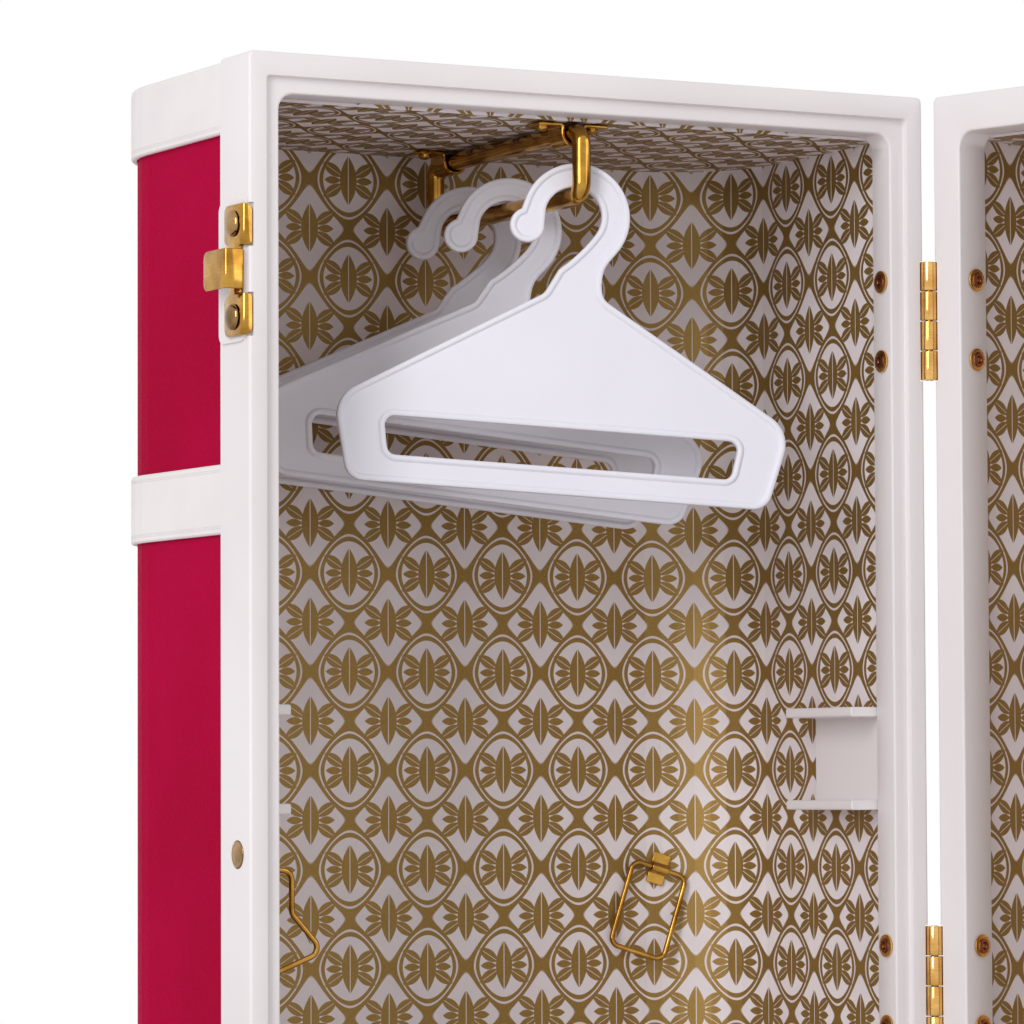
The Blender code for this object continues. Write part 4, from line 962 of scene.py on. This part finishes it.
# %% Hinge leaves
KNUCKLE = HINGE_LONG / 4
LEAF_IN, LEAF_OUT = 0.0008, 0.0002  # the leaf's two faces, off the flange's face
LEAF_FORE, LEAF_BACK = 0.0035, 0.016
ROLL_BACK = 0.0037  # how far back a knuckle's own sheet runs
RETURN_IN = 0.0112  # inside of the frame, where the rivets are turned over
ROUND_END = mm((0, 0), (2.6, 0), (2.82, 0.1), (2.9, 0.3))
WASHER = mm((0, 0.6), (0.9, 0.6), (1.08, 0.75), (1.2, 0.98), (1.5, 1.10), (1.9, 1.08), (2.3, 0.92),
            (2.5, 0.72), (2.7, 0.68), (3.3, 0.62), (3.52, 0.5), (3.6, 0.3), (3.6, 0), (0, 0))
SHANK = mm((0, 0), (1.6, 0), (1.6, 10.5), (0, 10.5))
HEAD = mm((0, -0.3), (3.6, -0.3), (3.5, 0.1), (3.1, 0.45), (2, 0.65), (0, 0.7))


def leaf(number, z, half):
    """A leaf, the two knuckles that it has of the four, and its rivets."""
    side = 1 if half == "left" else -1
    own = [k for k in range(4) if (k % 2 == 0) == (half == "left")]
    top, foot = z + 2 * KNUCKLE, z - 2 * KNUCKLE
    x0, x1 = sorted((side * (HALF_W - LEAF_IN), side * (HALF_W + LEAF_OUT)))
    bm = bmesh.new()
    plate = rounded([(LEAF_FORE, top, 0), (LEAF_BACK, top, 0.0012), (LEAF_BACK, foot, 0.0012),
                     (LEAF_FORE, foot, 0)], 5)
    slab(bm, plate, x0, x1, "YZ")
    for k in own:
        high, low = top - k * KNUCKLE - GAP / 2, top - (k + 1) * KNUCKLE + GAP / 2
        slab(bm, oblong(-PIN_FORE, ROLL_BACK, low, high), x0, x1, "YZ")
        barrel = [(r, low + h) for r, h in ROUND_END] + [(r, high - h) for r, h in ROUND_END[::-1]]
        turned(bm, barrel, (side * (HALF_W + PIN_OUT), -PIN_FORE, 0), (0, 0, 1), 40)
    for k in (-0.5, 0.5):
        up = z + k * RIVET_STEP
        inside = (side * (HALF_W - RETURN_IN), RIVET_BACK, up)
        turned(bm, WASHER, inside, (-side, 0, 0), 40)
        turned(bm, SHANK, inside, (side, 0, 0), 24)
        turned(bm, HEAD, (side * (HALF_W + LEAF_OUT), RIVET_BACK, up), (side, 0, 0), 32)
    return settle(f"butt_{number}_{half}", bm, f"hinge_{number}_leaf_{half}", f"leaf_{half}",
                  f"{half}_case", LAYOUT[half])


for number, z in enumerate(HINGE_Z, 1):
    for half in LAYOUT:
        leaf(number, z, half)
print("hinges at", [round(z, 4) for z in HINGE_Z])

# %% [markdown]
# ## Keepers
#
# A keeper is cut from 1 mm brass sheet and bent: two wings turn over the front edge of the flange,
# and the tongue between them rises and runs back as the hook that the latch's wire pulls on. Sheet
# metal is easiest as a sheet: one layer of faces in the middle of the metal, which Solidify makes
# 1 mm thick and Bevel softens at the cut edges.


# %% Bent sheet
FOLD_EPS = 0.0000001  # tolerance of the folds, a tenth of a micrometre


def bent_sheet(bm, outline, path):
    """Faces of a flat (distance, height) outline, laid along a bent path of (x, y) points."""
    flat = bmesh.new()
    flat.faces.new([flat.verts.new((s, 0.0, z)) for s, z in outline])
    marks = [0.0]
    for one, two in zip(path, path[1:]):
        marks.append(marks[-1] + math.dist(one, two))
    for mark in marks[1:-1]:
        bmesh.ops.bisect_plane(flat, geom=flat.verts[:] + flat.edges[:] + flat.faces[:],
                               dist=FOLD_EPS, plane_co=(mark, 0.0, 0.0), plane_no=(1.0, 0.0, 0.0))
    laid = {}
    for point in flat.verts:
        i = max(k for k in range(len(marks) - 1) if marks[k] <= point.co.x + 2 * FOLD_EPS or k == 0)
        share = (point.co.x - marks[i]) / (marks[i + 1] - marks[i])
        x, y = Vector(path[i]).lerp(Vector(path[i + 1]), share)
        laid[point] = bm.verts.new((x, y, point.co.z))
    for face in flat.faces:
        bm.faces.new([laid[point] for point in face.verts])
    flat.free()


# %% Keeper
PLATE_OUT, PLATE_BACK = 0.0016, 0.0133  # the middle of the plate's metal
FOLD_BACK, FOLD_R = 0.0021, 0.0013  # where the plate turns over the front edge
TONGUE_OUT, TONGUE_BACK, TONGUE_HALF = 0.0072, 0.0160, 0.00595
SHEET = 0.0010


def out(u):
    """The x of a place that stands u metres out from the left flange."""
    return -HALF_W - u


def keeper(tag, z):
    """A keeper with its middle at height z."""
    bm = bmesh.new()
    fold = arc(out(PLATE_OUT - FOLD_R), FOLD_BACK, FOLD_R, 180, 270, 8)
    path = [(out(PLATE_OUT), PLATE_BACK)] + fold + [(out(-0.0012), FOLD_BACK - FOLD_R)]
    front = PLATE_BACK - FOLD_BACK  # along the plate to where it bends
    notch = front - 0.0006
    lip = front + FOLD_R * math.pi / 2 + 0.0015
    plate = [(0.0, z + REACH, 0.0024), (0.0, z + 0.0086, 0.0016), (0.0030, z + 0.0072, 0.0012),
             (0.0030, z - 0.0072, 0.0012), (0.0, z - 0.0086, 0.0016), (0.0, z - REACH, 0.0024),
             (lip, z - REACH, 0.0024), (lip, z - WAIST, 0.0014), (notch, z - WAIST, 0.0004),
             (notch, z + WAIST, 0.0004), (lip, z + WAIST, 0.0014), (lip, z + REACH, 0.0024)]
    bent_sheet(bm, rounded(plate, 5), path)
    path = ([(out(PLATE_OUT), 0.0026), (out(PLATE_OUT), 0.0021)]
            + arc(out(0.0022), 0.0019, 0.0006, 0, -70, 4)
            + arc(out(TONGUE_OUT - 0.0008), 0.0021, 0.0008, 270, 180, 6)
            + [(out(TONGUE_OUT), 0.0060), (out(TONGUE_OUT), TONGUE_BACK)])
    length = sum(math.dist(one, two) for one, two in zip(path, path[1:]))
    low, high = z - TONGUE_HALF, z + TONGUE_HALF
    tongue = [(0.0, low, 0), (length, low, 0.0024), (length, high, 0.0024), (0.0, high, 0)]
    bent_sheet(bm, rounded(tongue, 5), path)
    piece = settle(f"keeper_{tag}_plate", bm, f"keeper_{tag}", smooth=50)
    thick = piece.modifiers.new("sheet", "SOLIDIFY")
    thick.thickness = SHEET
    thick.offset = 0.0
    thick.use_even_offset = True
    soften(piece, "cut edges", 0.00022, 50)


# %% Studs and the side rivet
STUD_OUT, STUD_BACK, STUD_STEP = 0.0024, 0.0068, 0.01395
quarter = [math.pi / 2 * i / 10 for i in range(1, 10)]
dome = [(3.9 * math.cos(t), 0.2 + 1.5 * math.sin(t)) for t in quarter]
stud = mm((0, 0), (4, 0), (4, 0.2), *dome, (0, 1.7))
for tag, z in FITTING_Z.items():
    keeper(tag, z)
    for k, which in ((1, "a"), (-1, "b")):
        bm = bmesh.new()
        turned(bm, stud, (out(STUD_OUT), STUD_BACK, z + k * STUD_STEP), (-1, 0, 0), 40)
        settle(f"stud_{tag}_{which}", bm, f"keeper_{tag}_rivet_{which}", "dull", smooth=50)
bm = bmesh.new()
flush = mm((0, -1), (4, -1), (4, 0), (3.8, 0.22), (3.4, 0.3), (3.1, 0.18), (2.8, 0.24), (1.2, 0.3),
           (0, 0.3))
turned(bm, flush, (-HALF_W, SIDE_RIVET_Y, SIDE_RIVET_Z), (-1, 0, 0), 48)
settle("flange_rivet", bm, "side_rivet", "dull", smooth=50)
print("keepers and their studs")

# %% [markdown]
# ## Wire fittings, latch wires and the carrying handle
#
# All of these are round stock bent in one plane, so one tube each will do. What differs is where
# the plane stands: the two loops inside the left half hang from clips, the latch wires lie folded
# back along the side, and the handle stands out a little.

# %% Loops inside
WIRE_R, WIRE_BEND = 0.0009, 0.003
WALL_X = -HALF_W + 0.0072
BRACKET_OFF, BRACKET_BACK = 0.0015, 0.020
bracket_top = CASE_H - 0.2435
line = rounded(mm((0, 0, 3), (14.5, -0.9, 3), (14.5, -13.65, 3), (25, -25.2, 3), (0, -35, 3)), 8)
bm = bmesh.new()
tube(bm, [(WALL_X + BRACKET_OFF + a, BRACKET_BACK, bracket_top + b) for a, b in line], WIRE_R,
     (0, 1, 0), 20)
settle("bracket_wire", bm, "side_wire", body="side_wire", smooth=60)

LOOP_X, LOOP_Z, LOOP_OFF = HALF_W - 0.033, CASE_H - 0.247, 0.0028
LOOP_TILT, LOOP_LEAN = math.radians(18), math.radians(5)
lean_by = math.asin((LOOP_X - (ROOM_X - ROOM_R)) / ROOM_R)
seat_y = ROOM_Y - ROOM_R + ROOM_R * math.cos(lean_by) - 0.0004
seat = (LEFT @ Matrix.Translation((LOOP_X, seat_y, LOOP_Z)) @ Matrix.Rotation(-lean_by, 4, "Z")
        @ Matrix.Rotation(LOOP_TILT, 4, "Y"))
hang = seat @ Matrix.Translation((0, -LOOP_OFF, 0)) @ Matrix.Rotation(-LOOP_LEAN, 4, "X")
line = rounded(oblong(-0.0095, 0.0095, 0, -0.029, WIRE_BEND), 8)
bm = bmesh.new()
tube(bm, [(a, 0, b) for a, b in line], WIRE_R, (0, 1, 0), 20)
settle("loop_wire", bm, "back_loop", body="back_loop", matrix=hang, smooth=60)

# %% Clips of the loops
ON_WALL = Matrix(((0, 0, -1, 0), (-1, 0, 0, 0), (0, 1, 0, 0), (0, 0, 0, 1)))
ON_CORNER = Matrix(((0, 1, 0, 0), (0, 0, 1, 0), (1, 0, 0, 0), (0, 0, 0, 1)))
clip_at = Matrix.Translation((WALL_X, BRACKET_BACK, bracket_top - 0.0175))
CLIPS = [("bracket_clip", "side_wire_clip", BRACKET_OFF, LEFT @ clip_at @ ON_WALL),
         ("loop_clip", "back_loop_clip", LOOP_OFF, seat @ ON_CORNER)]
for name, node, off, matrix in CLIPS:
    bm = bmesh.new()
    slab(bm, strap(WIRE_R, off, 0.0006, 0.0052), -0.003, 0.003, "XZ")
    settle(name, bm, node, matrix=matrix, edge=0.0002)

# %% Latch wires and handle
BAIL_X, BAIL_Y = HALF_W + 0.0046 + 0.0028, 0.0052 + 0.0062
for tag, z in FITTING_Z.items():
    line = rounded(oblong(0, 0.031, -0.0145, 0.0145, WIRE_BEND), 8)
    bm = bmesh.new()
    tube(bm, [(BAIL_X, BAIL_Y + a, z + b) for a, b in line], 0.0008, (1, 0, 0), 20)
    bail = f"latch_{tag}_bail"
    settle(f"latch_{tag}_wire", bm, bail, body=bail, matrix=RIGHT, smooth=60)

GRIP_X, GRIP_Y, GRIP_R = HALF_W + 0.0068, 0.0052 + 0.0065, 0.0028
line = rounded(mm((0, -51.7, 0), (0, -36.7, 4.5), (24, -16.7, 9), (24, 16.7, 9), (0, 36.7, 4.5),
                  (0, 51.7, 0)), 12, closed=False)
bm = bmesh.new()
tube(bm, [(GRIP_X, GRIP_Y + a, CASE_H / 2 + b) for a, b in line], GRIP_R, (1, 0, 0), 36, closed=False)
settle("handle_grip", bm, "carry_handle", "grip", "carry_handle", RIGHT, smooth=60)
print("handle path of", len(line), "points")

# %% [markdown]
# ## Pieces that only need their edges eased
#
# The levers and bases of the latches, the handle's mounts, the ledges and the feet are plain, and
# only their sharp edges give them away. We copy such a piece, join the triangles that lie in one
# plane, and let the Bevel modifier round what is left.


# %% Eased copies
def eased(node, edge, name):
    source = nodes[node]
    bm = bmesh.new()
    bm.from_mesh(source.data)
    bmesh.ops.remove_doubles(bm, verts=bm.verts, dist=0.000002)
    bmesh.ops.dissolve_limit(bm, angle_limit=math.radians(1), verts=bm.verts, edges=bm.edges)
    return settle(name, bm, node, finish_of(node), source["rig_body"], source.matrix_world, edge)


soft = []
for tag in FITTING_Z:
    soft.append(eased(f"latch_{tag}_base", 0.0002, f"latch_{tag}_plate"))
    soft.append(eased(f"latch_{tag}_lever", 0.0002, f"latch_{tag}_tongue"))
    soft.append(eased(f"handle_mount_{tag}", 0.0003, f"grip_mount_{tag}"))
for half in LAYOUT:
    soft.append(eased(f"guide_{half}", 0.0003, f"ledge_{half}"))
    soft += [eased(f"glide_{half}_{side}", 0.0006, f"foot_{half}_{side}") for side in "lr"]
print("eased", len(soft), "pieces")


# %% Sizes and finish
def plain(value):
    """Nested vectors as plain lists."""
    return [plain(v) for v in value] if hasattr(value, "__len__") else float(value)


{"cad": plain(cad_box), "visual": plain(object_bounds())}
